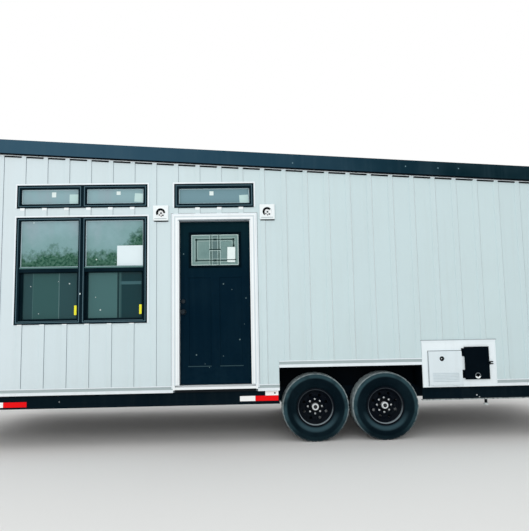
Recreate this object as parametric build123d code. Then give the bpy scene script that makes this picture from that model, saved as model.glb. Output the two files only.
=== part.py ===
from build123d import *

import os
from math import asin, degrees, sqrt

# A small timber house on a two-axle trailer. Millimetres, +Z up, ground at zero height.
# The tongue points along -X and the wall with the entry door faces -Y.

# House body, over its siding
body_length = 7925.0
body_width = 2506.0
wall_thickness = 115.0
front_wall_height = 2846.0
floor_thickness = 60.0

# Roof, which falls to the rear by 3/4 inch in each foot
roof_fall = 0.0625
roof_thickness = 160.0
roof_sheet_thickness = 3.0
roof_overhang = 20.0
seam_height = 24.0
seam_width = 12.0
seam_pitch = 406.0
fascia_thickness = 22.0
fascia_height = 178.0
fascia_drop = 12.0

# Trim on the siding
trim_proud = 14.0
base_band_height = 30.0
base_step_height = 4.0
base_recess_proud = 9.0
base_recess_height = 30.0
base_lip_height = 9.0
corner_trim_width = 60.0
frieze_height = 24.0

# Entry door, which swings into the house on its right edge
door_x = 3238.0
slab_width = 864.0
slab_height = 1915.0
slab_thickness = 44.0
slab_recess = 70.0
slab_lift = 16.0
door_gap = 5.0
jamb_thickness = 25.0
stop_lap = 20.0
casing_width = 69.0
casing_proud = 18.0
casing_foot = 84.0
lite_width = 556.0
lite_height = 365.0
lite_foot = 1378.0
lite_frame_width = 30.0
lite_frame_proud = 8.0
lite_frame_taper = 25.0
lite_glass_inset = 12.0
lite_glass_thickness = 20.0
panel_width = 262.0
panel_gap = 96.0
panel_foot = 207.0
panel_height = 1030.0
panel_depth = 8.0
panel_taper = 40.0
backset = 60.0
knob_height = 836.0
deadbolt_height = 958.0
knob_radius = 27.0
knob_reach = 58.0
knob_face_radius = 15.0
knob_neck_radius = 12.0
knob_neck_length = 16.0
rose_radius = 32.0
rose_thickness = 8.0
deadbolt_radius = 26.0
deadbolt_face_radius = 20.0
deadbolt_reach = 22.0

# Hinges
knuckle_radius = 6.0
pin_radius = 3.0
pin_clearance = 0.3
knuckle_clearance = 1.0
leaf_thickness = 3.0
door_hinge_height = 100.0
door_hinge_inset = 180.0
door_hinge_standoff = 0.5
door_leaf_thickness = 2.0
door_leaf_inset = 8.0

# Sill under the entry door
sill_nose = 30.0
sill_foot = 27.0
sill_clearance = 5.0
sill_slope = 12.0
sill_crest = 10.0

# Windows
window_x = 1704.0
window_width = 1511.0
window_foot = 795.0
window_height = 1240.0
window_bar = 48.0
window_mullion = 78.0
window_head_bar = 42.0
window_foot_bar = 36.0
meeting_rail = 57.0
lower_light_height = 542.0
sash_stile = 20.0
sash_setback = 34.0
upper_window_gap = 108.0
upper_window_height = 272.0
upper_mullion = 95.0
transom_width = 933.0
transom_foot = 2126.0
transom_height = 286.0
transom_bar = 52.0
frame_proud = 14.0
frame_lap = 15.0
frame_depth = 80.0
glass_setback = 16.0
glass_thickness = 6.0
glass_bite = 8.0

# Blocks that carry the outside lights
light_block_offset = 621.5
light_block_height = 2066.0
light_block_size = 178.0
light_block_proud = 38.0
light_block_bevel = 5.0
light_box_radius = 54.0
light_box_depth = 32.0
light_strap_width = 20.0
light_strap_thickness = 3.0

# Utility panel, behind the wheels
utility_width = 864.0
utility_height = 519.0
utility_proud = 14.0
heater_x = 264.0
heater_foot = 26.0
heater_size = 381.0
heater_thickness = 12.0
heater_opening_width = 340.0
heater_opening_height = 320.0
heater_ring_proud = 8.0
heater_ring_lap = 2.0
heater_ring_foot = 22.0
heater_case_depth = 380.0
heater_case_wall = 4.0
heater_case_clearance = 2.0
heater_hinge_length = 60.0
heater_hinge_spread = 119.0
heater_leaf_reach = 12.0
flue_x = -39.5
flue_drop = 84.0
flue_hole_radius = 28.0
flue_radius = 14.0
louvre_count = 6
louvre_pitch = 18.0
louvre_foot = 36.0
louvre_height = 8.0
louvre_width = 300.0
louvre_depth = 6.0
hatch_x = 634.0
hatch_foot = 82.0
hatch_width = 283.0
hatch_height = 371.0
hatch_thickness = 14.0
hatch_opening_lap = 20.0
hatch_box_depth = 150.0
hatch_box_wall = 3.0
hatch_hinge_height = 92.0
hatch_hinge_inset = 16.0
hatch_leaf_width = 26.0
latch_length = 64.0
latch_height = 34.0
latch_bar = 11.0
latch_thickness = 6.0
grommet_radius = 39.0
grommet_hole_radius = 17.0
grommet_height = 42.0
grommet_proud = 4.0
moving_clearance = 5.0
hinge_leaf_margin = 1.0

# Wheel arches, cut up into both long walls
axle_group_x = 4790.0
arch_width = 1648.0
arch_height = 258.0
well_reach = 353.0
well_plate = 5.0
well_rail_gap = 15.0

# Trailer frame of 6 inch channel
tongue_length = 1320.0
rail_height = 152.0
rail_flange = 50.0
rail_web = 6.0
side_rail_inset = 28.0
cross_member_count = 11
cross_member_height = 76.0
cross_member_width = 40.0
tongue_spread = 760.0
coupler_length = 300.0
coupler_lap = 60.0
coupler_drop = 20.0
coupler_width = 84.0
coupler_radius = 44.0
coupler_round = 8.0
ball_radius = 29.4
latch_lever_length = 90.0
latch_lever_width = 24.0
latch_lever_height = 14.0
jack_x = 430.0
jack_radius = 30.0
jack_leg_radius = 24.0
jack_top = 330.0
jack_sleeve_drop = 60.0
jack_plate_half = 70.0
jack_plate_gauge = 10.0
jack_foot_size = 180.0
jack_foot_thickness = 10.0
crank_drop = 30.0
crank_arm = 130.0
crank_radius = 7.0
crank_elbow_radius = 9.0
crank_grip_length = 90.0
crank_grip_radius = 14.0
drain_x = 6388.0
drain_setback = 118.0
drain_foot = 372.0
drain_radius = 16.0
drain_wall = 3.0
drain_collar_radius = 29.0
drain_collar_height = 16.0

# Axles
axle_spacing = 813.0
tyre_radius = 388.0
tyre_width = 236.0
tyre_inset = 65.0
axle_radius = 38.0
axle_drop = 127.0
drop_arm_gauge = 40.0
drop_arm_radius = 42.0
seat_gauge = 6.0
seat_half = 30.0
spindle_radius = 22.0
spindle_clearance = 0.05
spindle_length = 40.0
spindle_end_gap = 4.0
backing_radius = 165.0
backing_gauge = 5.0

# Leaf springs, their hangers, and the equaliser that shares the load between both axles
spring_span = 641.0
spring_arch = 16.0
spring_width = 45.0
leaf_gauge = 9.5
leaf_count = 4
leaf_step = 78.0
eye_radius = 19.0
eye_bolt_radius = 8.0
bolt_clearance = 0.5
clip_place = 203.0
clip_width = 16.0
clip_gauge = 3.0
hanger_drop = 89.0
hanger_gauge = 6.0
hanger_length = 84.0
hanger_foot_radius = 24.0
spring_side_play = 2.0
bolt_end = 9.0
bolt_head_radius = 12.0
equaliser_half = 76.0
equaliser_gauge = 20.0
equaliser_pivot_radius = 21.0
equaliser_end_radius = 16.0
shackle_length = 57.0
strap_width = 32.0
strap_gauge = 6.0
strap_gap = 1.0
clamp_rod_radius = 6.5
clamp_gap = 0.3
clamp_plate_margin = 12.0
clamp_plate_gauge = 8.0
clamp_nut_radius = 11.0
clamp_nut_height = 10.0

# Wheels, 16 inch with eight studs
rim_radius = 220.0
bead_radius = 203.0
bead_half_width = 88.0
rim_gauge = 6.0
seat_length = 30.0
drop_slope = 20.0
drop_radius = 172.0
disc_gauge = 8.0
disc_crown_radius = 123.0
disc_crown_rise = 26.0
disc_root_rise = 14.0
pilot_radius = 62.0
stud_circle_radius = 82.5
stud_count = 8
stud_radius = 7.0
stud_hole_radius = 8.0
stud_end = 5.0
hand_hole_circle = 138.0
hand_hole_radius = 17.0
nut_radius = 12.0
nut_height = 18.0
nut_bevel = 2.0
hub_nose_radius = 60.0
hub_nose_length = 34.0
hub_cap_radius = 41.0
hub_cap_reach = 74.0
hub_cap_bevel = 6.0
cap_plug_radius = 22.0
cap_plug_depth = 3.0
bearing_radius = 40.0
hub_flange_radius = 105.0
hub_flange = 12.0
drum_radius = 160.0
drum_depth = 88.0
drum_wall = 9.0
tyre_bead_lap = 2.0
shoulder_drop = 18.0
shoulder_inset = 14.0
tread_inset = 22.0
tread_edge_drop = 6.0
tread_edge_inset = 18.0

# Places that follow from the sizes
fascia_reach = roof_overhang + fascia_thickness
front = (tongue_length - body_length - fascia_reach) / 2
rear = front + body_length
near = -body_width / 2
inner = near + wall_thickness
axle_z = tyre_radius - axle_drop
leaf_top = axle_z + axle_radius + seat_gauge + leaf_count * leaf_gauge
eye_z = leaf_top + spring_arch
rail_foot = eye_z + hanger_drop
base_height = rail_foot + rail_height
floor_top = base_height + floor_thickness
main_rail_y = body_width / 2 - well_reach - well_rail_gap - rail_flange / 2
arch_start = front + axle_group_x - arch_width / 2
arch_end = arch_start + arch_width
arch_top = base_height + arch_height
door_centre = front + door_x
slab_foot = floor_top + slab_lift
slab_top = slab_foot + slab_height
slab_face = near + slab_recess
doorway_half = slab_width / 2 + door_gap + jamb_thickness
doorway_start = door_centre - doorway_half
doorway_end = door_centre + doorway_half
doorway_top = slab_top + door_gap + jamb_thickness
heater_opening_foot = floor_top + heater_case_clearance
wheel_y = body_width / 2 - tyre_inset - tyre_width / 2
axle_group = front + axle_group_x
wheel_places = [axle_group + side * axle_spacing / 2 for side in (-1, 1)]
past = 1.0


def block(x0, x1, y0, y1, z0, z1):
    """A box between two opposite corners."""
    return Pos((x0 + x1) / 2, (y0 + y1) / 2, (z0 + z1) / 2) * Box(x1 - x0, y1 - y0, z1 - z0)


def rod(x, y, z, radius, length, axis):
    """A round bar that starts at a point and runs along an axis."""
    turns = {"X": Rot(0, 90, 0), "Y": Rot(-90, 0, 0), "Z": Rot(0, 0, 0)}
    bar = Cylinder(radius, length, align=(Align.CENTER, Align.CENTER, Align.MIN))
    return Pos(x, y, z) * turns[axis] * bar


def across(sketch, gauge):
    """A sketch drawn in side view, made a plate of some gauge about the middle."""
    return extrude(Rot(90, 0, 0) * sketch, amount=gauge / 2, both=True)


def roof_line(x):
    """Height of the roof's underside at a place along the house."""
    return base_height + front_wall_height - roof_fall * (x - front)


def upright(points, y0, y1):
    """A flat piece drawn in side view and given its width across the house."""
    outline = make_face(Polyline(*[(x, y0, z) for x, z in points], close=True))
    return extrude(outline, amount=y1 - y0, dir=(0, 1, 0))


def lengthwise(points, x0, x1):
    """A bar drawn in section and run along the house."""
    outline = make_face(Polyline(*[(x0, y, z) for y, z in points], close=True))
    return extrude(outline, amount=x1 - x0, dir=(1, 0, 0))


def wall_piece(x0, x1, y0, y1, z0):
    """A length of wall whose head follows the roof."""
    return upright([(x0, z0), (x1, z0), (x1, roof_line(x1)), (x0, roof_line(x0))], y0, y1)


def roof_piece(x0, x1, y0, y1, low, high):
    """A sloped slab between two levels measured from the roof's underside."""
    points = [(x0, roof_line(x0) + low), (x1, roof_line(x1) + low),
              (x1, roof_line(x1) + high), (x0, roof_line(x0) + high)]
    return upright(points, y0, y1)


def opposite(shape):
    """The same piece on the far side of the house."""
    return mirror(shape, about=Plane.XZ)


def save(name, *shapes):
    """Writes one sub-part, as all the solids of the shapes given."""
    solids = [solid for shape in shapes for solid in shape.solids()]
    export_step(solids[0] if len(solids) == 1 else Compound(solids), f"parts/{name}.step")


# Windows
def window_hole(x, foot, width, height):
    """The hole in the door-side wall behind a window frame."""
    return block(x - width / 2 + frame_lap, x + width / 2 - frame_lap, near - past, inner + past,
                 foot + frame_lap, foot + height - frame_lap)


def window_blank(x, foot, width, height):
    """A window frame before its lights are cut: a flange on the siding and a body in the wall."""
    flange = block(x - width / 2, x + width / 2, near - frame_proud, near, foot, foot + height)
    body = block(x - width / 2 + frame_lap, x + width / 2 - frame_lap, near, near + frame_depth,
                 foot + frame_lap, foot + height - frame_lap)
    return flange + body


def light(x0, x1, z0, z1, setback):
    """The clear opening of one light, and the pane that sits in a groove round it."""
    opening = block(x0, x1, near - frame_proud - past, near + frame_depth + past, z0, z1)
    pane = block(x0 - glass_bite, x1 + glass_bite, near + setback, near + setback + glass_thickness,
                 z0 - glass_bite, z1 + glass_bite)
    return opening, pane


def twin_window():
    """Two single-hung windows in one frame, with the lower sashes set back."""
    x = front + window_x
    foot = base_height + window_foot
    frame = window_blank(x, foot, window_width, window_height)
    light_width = (window_width - 2 * window_bar - window_mullion) / 2
    rail_low = foot + window_foot_bar + sash_stile + lower_light_height
    rail_high = rail_low + meeting_rail
    panes = []
    for x0 in (x - window_mullion / 2 - light_width, x + window_mullion / 2):
        x1 = x0 + light_width
        upper, upper_pane = light(x0, x1, rail_high, foot + window_height - window_head_bar, glass_setback)
        lower, lower_pane = light(x0 + sash_stile, x1 - sash_stile, rail_low - lower_light_height, rail_low,
                                  sash_setback + glass_setback)
        recess = block(x0, x1, near - frame_proud - past, near + sash_setback,
                       foot + window_foot_bar, rail_low)
        frame = frame - upper - lower - recess - upper_pane - lower_pane
        panes += [upper_pane, lower_pane]
    return frame, panes


def upper_window():
    """A low pair of fixed lights over the twin window."""
    x = front + window_x
    foot = base_height + window_foot + window_height + upper_window_gap
    frame = window_blank(x, foot, window_width, upper_window_height)
    light_width = (window_width - 2 * window_bar - upper_mullion) / 2
    panes = []
    for x0 in (x - upper_mullion / 2 - light_width, x + upper_mullion / 2):
        opening, pane = light(x0, x0 + light_width, foot + window_bar,
                              foot + upper_window_height - window_bar, glass_setback)
        frame = frame - opening - pane
        panes.append(pane)
    return frame, panes


def transom():
    """The fixed light over the entry door."""
    foot = base_height + transom_foot
    half = transom_width / 2 - transom_bar
    frame = window_blank(door_centre, foot, transom_width, transom_height)
    opening, pane = light(door_centre - half, door_centre + half, foot + transom_bar,
                          foot + transom_height - transom_bar, glass_setback)
    return frame - opening - pane, [pane]


def window_pair_holes():
    """The two holes for the twin window and the window over it."""
    foot = base_height + window_foot
    upper_foot = foot + window_height + upper_window_gap
    return (window_hole(front + window_x, foot, window_width, window_height)
            + window_hole(front + window_x, upper_foot, window_width, upper_window_height))


# Walls, floor and roof
def hatch_opening(y0, y1, wall):
    """The space behind the hatch lid, less a wall all round."""
    half = hatch_width / 2 - hatch_opening_lap - wall
    low = base_height + hatch_foot + hatch_opening_lap + wall
    high = base_height + hatch_foot + hatch_height - hatch_opening_lap - wall
    return block(arch_end + hatch_x - half, arch_end + hatch_x + half, y0, y1, low, high)


def heater_opening(y0, y1, wall):
    """The space behind the heater's door, less a wall all round."""
    half = heater_opening_width / 2 - wall
    return block(arch_end + heater_x - half, arch_end + heater_x + half, y0, y1, heater_opening_foot + wall,
                 heater_opening_foot + heater_opening_height - wall)


def utility_openings():
    """The two openings behind the utility panel: the heater's and the hatch's."""
    outside = near - utility_proud - past
    return heater_opening(outside, inner + past, 0) + hatch_opening(outside, inner + past, 0)


def make_walls():
    transom_hole = window_hole(door_centre, base_height + transom_foot, transom_width, transom_height)
    over_door = wall_piece(doorway_start, doorway_end, near, inner, doorway_top)
    beside_door = wall_piece(doorway_end, arch_start, near, inner, base_height)
    over_wheels = wall_piece(arch_start, arch_end, near, inner, arch_top)
    behind_wheels = wall_piece(arch_end, rear, near, inner, base_height)
    window_holes = window_pair_holes()
    save("door_side_wall_front", wall_piece(front, doorway_start, near, inner, base_height) - window_holes)
    save("door_side_wall_over_door", over_door - transom_hole)
    save("door_side_wall_beside_door", beside_door - transom_hole)
    save("door_side_wall_over_wheels", over_wheels)
    save("door_side_wall_rear", behind_wheels - utility_openings())
    far_front = wall_piece(front, arch_start, near, inner, base_height)
    save("far_side_wall_front", opposite(far_front - window_holes))
    save("far_side_wall_over_wheels", opposite(over_wheels))
    save("far_side_wall_rear", opposite(behind_wheels))
    save("front_wall", wall_piece(front, front + wall_thickness, inner, -inner, base_height))
    save("rear_wall", wall_piece(rear - wall_thickness, rear, inner, -inner, base_height))


def make_floor():
    """The floor between the walls, cut round both wheel wells."""
    deck = block(front + wall_thickness, rear - wall_thickness, inner, -inner, base_height, floor_top)
    well = block(arch_start, arch_end, near, near + well_reach, base_height - past, floor_top + past)
    save("floor_deck", deck - well - opposite(well))


def make_roof():
    """The roof slab, its standing-seam skin and the fascia round its edge."""
    x0 = front - roof_overhang
    x1 = rear + roof_overhang
    half = body_width / 2 + roof_overhang
    save("roof_deck", roof_piece(x0, x1, -half, half, 0, roof_thickness))
    top = roof_thickness + roof_sheet_thickness
    sheet = roof_piece(x0, x1, -half, half, roof_thickness, top)
    seams = int((half - seam_width) / seam_pitch)
    for step in range(-seams, seams + 1):
        middle = step * seam_pitch
        sheet += roof_piece(x0, x1, middle - seam_width / 2, middle + seam_width / 2, roof_thickness,
                            top + seam_height)
    save("roof_sheet", sheet)
    low = -fascia_drop
    high = fascia_height - fascia_drop
    side = roof_piece(x0 - fascia_thickness, x1 + fascia_thickness,
                      -half - fascia_thickness, -half, low, high)
    save("fascia_sides", side, opposite(side))
    front_end = roof_piece(x0 - fascia_thickness, x0, -half, half, low, high)
    rear_end = roof_piece(x1, x1 + fascia_thickness, -half, half, low, high)
    save("fascia_ends", front_end, rear_end)


def base_strip(x0, x1, foot):
    """The folded strip under the siding: a proud band, a recess and a lip that the siding stands on."""
    levels = [foot, foot + base_band_height]
    for height in (base_step_height, base_recess_height, base_step_height, base_lip_height):
        levels.append(levels[-1] + height)
    proud = near - trim_proud
    recess = near - base_recess_proud
    faces = [proud, proud, recess, recess, proud, proud]
    return lengthwise([(near, levels[0]), *zip(faces, levels), (near, levels[-1])], x0, x1)


def make_wall_trims():
    """Base strips, corner posts and the strip under the fascia, on the siding."""
    out = near - trim_proud
    corner = corner_trim_width
    casing_half = slab_width / 2 - stop_lap + casing_width
    strips = []
    for x0, x1 in ((front + corner, door_centre - casing_half), (door_centre + casing_half, arch_start),
                   (arch_end + utility_width, rear - corner)):
        strips.append(base_strip(x0, x1, base_height))
    for x0, x1 in ((front + corner, arch_start), (arch_end, rear - corner)):
        strips.append(opposite(base_strip(x0, x1, base_height)))
    arch = base_strip(arch_start, arch_end, arch_top)
    frieze = roof_piece(front + corner, rear - corner, out, near, -frieze_height, 0)
    strips += [arch, opposite(arch), frieze, opposite(frieze)]
    half = body_width / 2 - corner
    for turn, shift in ((-90, front - near), (90, rear + near)):
        strips.append(Pos(shift, 0, 0) * Rot(0, 0, turn) * base_strip(-half, half, base_height))
    for x, outward in ((front, -1), (rear, 1)):
        face = sorted((x, x + outward * trim_proud))
        top = min(roof_line(face[0]), roof_line(face[1]))
        strips.append(block(face[0], face[1], -half, half, top - frieze_height, top))
        along = sorted((x + outward * trim_proud, x - outward * corner))
        head = min(roof_line(along[0]), roof_line(along[1]))
        post = block(along[0], along[1], out, near + corner, base_height, head)
        inside = sorted((x, x - outward * 2 * corner))
        post -= block(inside[0], inside[1], near, near + 2 * corner, base_height - past, head + past)
        strips += [post, opposite(post)]
    save("wall_trims", *strips)


def make_windows():
    twin, twin_panes = twin_window()
    upper, upper_panes = upper_window()
    over_door, door_panes = transom()
    save("window_frames", twin, upper, over_door)
    save("window_glass", *twin_panes, *upper_panes, *door_panes)
    save("far_window_frames", opposite(twin), opposite(upper))
    save("far_window_glass", *[opposite(pane) for pane in twin_panes + upper_panes])


# Hinges
def hinge(height, fixed_leaf, moving_leaf):
    """A hinge on a pin along +Z from the origin. Each leaf is a box that starts at the pin."""
    third = height / 3
    gap = knuckle_clearance / 2
    fixed = rod(0, 0, 0, pin_radius, height, "Z")
    for foot in (0, 2 * third):
        fixed += rod(0, 0, foot, knuckle_radius, third, "Z")
    moving = rod(0, 0, third + gap, knuckle_radius, third - 2 * gap, "Z")
    swept = rod(0, 0, third - gap, knuckle_radius + knuckle_clearance, third + 2 * gap, "Z")
    bore = rod(0, 0, -past, pin_radius + pin_clearance, height + 2 * past, "Z")
    fixed += block(*fixed_leaf, 0, height) - swept
    ends = rod(0, 0, -past, knuckle_radius + knuckle_clearance, third + past + gap, "Z")
    ends += rod(0, 0, 2 * third - gap, knuckle_radius + knuckle_clearance, third + past + gap, "Z")
    moving = moving + block(*moving_leaf, 0, height) - ends
    return fixed, moving - bore


# Entry door
door_hinge_x = door_centre + slab_width / 2 + door_gap / 2
door_hinge_y = slab_face + slab_thickness + knuckle_radius + knuckle_clearance + door_hinge_standoff


def door_hinges():
    """Three butt hinges on the inside of the door's right edge."""
    leaf_end = slab_face + door_leaf_inset - door_hinge_y
    fixed_leaf = (door_gap / 2 - door_leaf_thickness, door_gap / 2, leaf_end, 0)
    moving_leaf = (-door_gap / 2, door_leaf_thickness - door_gap / 2, leaf_end, 0)
    fixed, moving = hinge(door_hinge_height, fixed_leaf, moving_leaf)
    feet = (slab_foot + door_hinge_inset, slab_foot + (slab_height - door_hinge_height) / 2,
            slab_top - door_hinge_inset - door_hinge_height)
    places = [Pos(door_hinge_x, door_hinge_y, foot) for foot in feet]
    return [place * fixed for place in places], [place * moving for place in places]


def on_door(x, height):
    """The places on the door's outer and inner faces, each turned to look out of its face."""
    outer = Pos(x, slab_face, slab_foot + height) * Rot(90, 0, 0)
    inside = Pos(x, slab_face + slab_thickness, slab_foot + height) * Rot(-90, 0, 0)
    return outer, inside


def knob():
    """A round knob on its rose, standing along +Z."""
    neck_end = rose_thickness + knob_neck_length
    middle = (neck_end + knob_reach) / 2
    stem = Polyline((0, 0, 0), (rose_radius, 0, 0), (rose_radius, 0, rose_thickness),
                    (knob_neck_radius, 0, rose_thickness), (knob_neck_radius, 0, neck_end))
    face_edge = (knob_face_radius, 0, knob_reach)
    ball = ThreePointArc((knob_neck_radius, 0, neck_end), (knob_radius, 0, middle), face_edge)
    face = Polyline(face_edge, (0, 0, knob_reach), (0, 0, 0))
    return revolve(make_face([*stem.edges(), ball, *face.edges()]), Axis.Z)


def deadbolt():
    """A round lock cylinder that narrows to its face, standing along +Z."""
    stand = (Align.CENTER, Align.CENTER, Align.MIN)
    return Cone(deadbolt_radius, deadbolt_face_radius, deadbolt_reach, align=stand)


def make_door():
    slab_half = slab_width / 2
    slab = block(door_centre - slab_half, door_centre + slab_half, slab_face, slab_face + slab_thickness,
                 slab_foot, slab_top)
    panel = extrude(Rectangle(panel_width, panel_height), amount=-panel_depth, taper=panel_taper)
    for side in (-1, 1):
        middle = door_centre + side * (panel_width + panel_gap) / 2
        for place in on_door(middle, panel_foot + panel_height / 2):
            slab -= place * panel
    lite_middle = lite_foot + lite_height / 2
    outer_face, inner_face = on_door(door_centre, lite_middle)
    opening = Rectangle(lite_width, lite_height)
    slab -= outer_face * extrude(opening, amount=slab_thickness + past, both=True)
    ring = Rectangle(lite_width + 2 * lite_frame_width, lite_height + 2 * lite_frame_width) - opening
    rim = extrude(ring, amount=lite_frame_proud, taper=lite_frame_taper)
    glass = extrude(opening, amount=-lite_glass_thickness)
    save("entry_door", slab)
    save("door_lite_frame", outer_face * rim, inner_face * rim)
    save("door_glass", outer_face * Pos(0, 0, -lite_glass_inset) * glass)
    x = door_centre - slab_width / 2 + backset
    knobs = [place * knob() for place in on_door(x, knob_height)]
    bolts = [place * deadbolt() for place in on_door(x, deadbolt_height)]
    fixed, moving = door_hinges()
    save("door_hardware", *knobs, *bolts, *moving)
    save("door_hinge_leaves", *fixed)


def make_door_frame():
    """The jambs, the stop that the door closes against, and the casing on the siding."""
    sill_top = slab_foot - sill_clearance
    clear = slab_width / 2 + door_gap
    stop_half = slab_width / 2 - stop_lap
    stop_top = slab_top - stop_lap
    jambs = block(doorway_start, doorway_end, near, inner, sill_top, doorway_top)
    jambs -= block(door_centre - clear, door_centre + clear, near - past, inner + past, base_height,
                   slab_top + door_gap)
    stop = block(doorway_start, doorway_end, near, slab_face - moving_clearance, sill_top, doorway_top)
    stop -= block(door_centre - stop_half, door_centre + stop_half,
                  near - past, slab_face, base_height, stop_top)
    casing_half = stop_half + casing_width
    casing = block(door_centre - casing_half, door_centre + casing_half, near - casing_proud, near,
                   base_height + casing_foot, stop_top + casing_width)
    casing -= block(door_centre - stop_half, door_centre + stop_half,
                    near - casing_proud - past, near + past,
                    base_height, stop_top)
    save("door_frame", jambs + stop + casing)
    nose = near - sill_nose
    nose_foot = base_height + sill_foot
    points = [(near, base_height), (inner, base_height), (inner, sill_top),
              (slab_face - sill_crest, sill_top), (nose, sill_top - sill_slope),
              (nose, nose_foot), (near, nose_foot)]
    save("door_sill", lengthwise(points, doorway_start, doorway_end))


# Outside light blocks
def make_light_blocks():
    """White blocks on the siding, each with a round box and a mounting strap across it."""
    pieces = []
    half = light_block_size / 2
    z = base_height + light_block_height
    face = near - light_block_proud
    for side in (-1, 1):
        x = door_centre + side * light_block_offset
        plate = block(x - half, x + half, face, near, z - half, z + half)
        plate = chamfer(plate.faces().sort_by(Axis.Y)[0].edges(), light_block_bevel)
        plate -= rod(x, face - past, z, light_box_radius, light_box_depth + past, "Y")
        strap_y = face + light_box_depth - light_strap_thickness
        plate += block(x - light_box_radius, x + light_box_radius, strap_y - light_strap_thickness, strap_y,
                       z - light_strap_width / 2, z + light_strap_width / 2)
        pieces.append(plate)
    save("light_blocks", *pieces)


# Utility panel
plate_face = near - utility_proud
hatch_left = arch_end + hatch_x - hatch_width / 2
hatch_hinge_x = hatch_left - knuckle_radius - knuckle_clearance
hatch_hinge_y = plate_face - knuckle_radius - knuckle_clearance
ring_face = plate_face - heater_ring_proud
heater_hinge_y = ring_face - knuckle_radius - knuckle_clearance
heater_hinge_z = base_height + heater_foot - knuckle_radius - knuckle_clearance


def make_hatch():
    """The black lid over the hatch, with its latch and cord port, its hinges and the box behind it."""
    x1 = hatch_left + hatch_width
    back = plate_face - moving_clearance
    face = back - hatch_thickness
    low = base_height + hatch_foot
    lid = block(hatch_left, x1, face, back, low, low + hatch_height)
    port_x = arch_end + hatch_x
    port_z = low + grommet_height
    lid += rod(port_x, face - grommet_proud, port_z, grommet_radius, grommet_proud, "Y")
    lid -= rod(port_x, face - grommet_proud - past, port_z, grommet_hole_radius,
               hatch_thickness + grommet_proud + 2 * past, "Y")
    latch_middle = low + hatch_height / 2
    for way in (-1, 1):
        bar = latch_middle + way * (latch_height - latch_bar) / 2
        lid += block(x1 - latch_length / 3, x1 + latch_length * 2 / 3, face - latch_thickness, face,
                     bar - latch_bar / 2, bar + latch_bar / 2)
    leaf_y = plate_face - hatch_hinge_y
    fixed_leaf = (-hatch_leaf_width, 0, leaf_y - leaf_thickness, leaf_y)
    moving_leaf = (0, hatch_left - hatch_hinge_x, face - hatch_hinge_y + hinge_leaf_margin,
                   back - hatch_hinge_y - hinge_leaf_margin)
    fixed, moving = hinge(hatch_hinge_height, fixed_leaf, moving_leaf)
    feet = (low + hatch_hinge_inset, low + hatch_height - hatch_hinge_inset - hatch_hinge_height)
    places = [Pos(hatch_hinge_x, hatch_hinge_y, foot) for foot in feet]
    for place in places:
        lid += place * moving
    back_wall = plate_face + hatch_box_depth
    box = hatch_opening(plate_face, back_wall, 0)
    box -= hatch_opening(plate_face - past, back_wall - hatch_box_wall, hatch_box_wall)
    save("hatch_lid", lid)
    save("hatch_hinges", *[place * fixed for place in places])
    save("hatch_box", box)


def make_heater():
    """The heater's case in the wall, and its white door with a flue hole and louvres."""
    middle = arch_end + heater_x
    half = heater_size / 2
    low = base_height + heater_foot
    high = low + heater_size
    back = ring_face - moving_clearance
    face = back - heater_thickness
    door = block(middle - half, middle + half, face, back, low, high)
    flue_z = high - flue_drop
    door -= rod(middle + flue_x, face - past, flue_z, flue_hole_radius, heater_thickness + 2 * past, "Y")
    for step in range(louvre_count):
        foot = low + louvre_foot + step * louvre_pitch
        door -= block(middle - louvre_width / 2, middle + louvre_width / 2,
                      face - past, face + louvre_depth,
                      foot, foot + louvre_height)
    leaf_back = ring_face - heater_hinge_y
    fixed_leaf = (0, heater_leaf_reach, leaf_back - leaf_thickness, leaf_back)
    moving_leaf = (heater_hinge_z - low, 0, face - heater_hinge_y + hinge_leaf_margin,
                   back - heater_hinge_y - hinge_leaf_margin)
    fixed, moving = hinge(heater_hinge_length, fixed_leaf, moving_leaf)
    case = block(middle - half - heater_ring_lap, middle + half + heater_ring_lap, ring_face, plate_face,
                 low - heater_ring_foot, high + heater_ring_lap)
    case += heater_opening(plate_face, plate_face + heater_case_depth, 0)
    case -= heater_opening(ring_face - past, inner, heater_case_wall)
    case += rod(middle + flue_x, ring_face, flue_z, flue_radius, inner - ring_face, "Y")
    for side in (-1, 1):
        start = middle + side * heater_hinge_spread - heater_hinge_length / 2
        place = Pos(start, heater_hinge_y, heater_hinge_z) * Rot(0, 90, 0)
        case += place * fixed
        door += place * moving
    save("heater_case", case)
    save("heater_door", door)


def make_utility_panel():
    plate = block(arch_end, arch_end + utility_width, plate_face, near,
                  base_height, base_height + utility_height)
    save("utility_panel", plate - utility_openings())


# Trailer
def make_wheel_wells():
    """Steel boxes over both pairs of wheels, open below and towards the outside."""
    reach = near + well_reach
    well = block(arch_start, arch_end, near, reach, base_height, arch_top)
    well -= block(arch_start + well_plate, arch_end - well_plate, near - past, reach - well_plate,
                  base_height - past, arch_top - well_plate)
    save("wheel_wells", well, opposite(well))


def channel(x0, x1, y0, y1):
    """A frame rail along the house, its web at the first place and its flanges reaching to the second."""
    rail = block(x0, x1, y0, y1, rail_foot, base_height)
    low, high = rail_foot + rail_web, base_height - rail_web
    return rail - block(x0 - past, x1 + past, y0 + rail_web, y1 + past, low, high)


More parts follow.
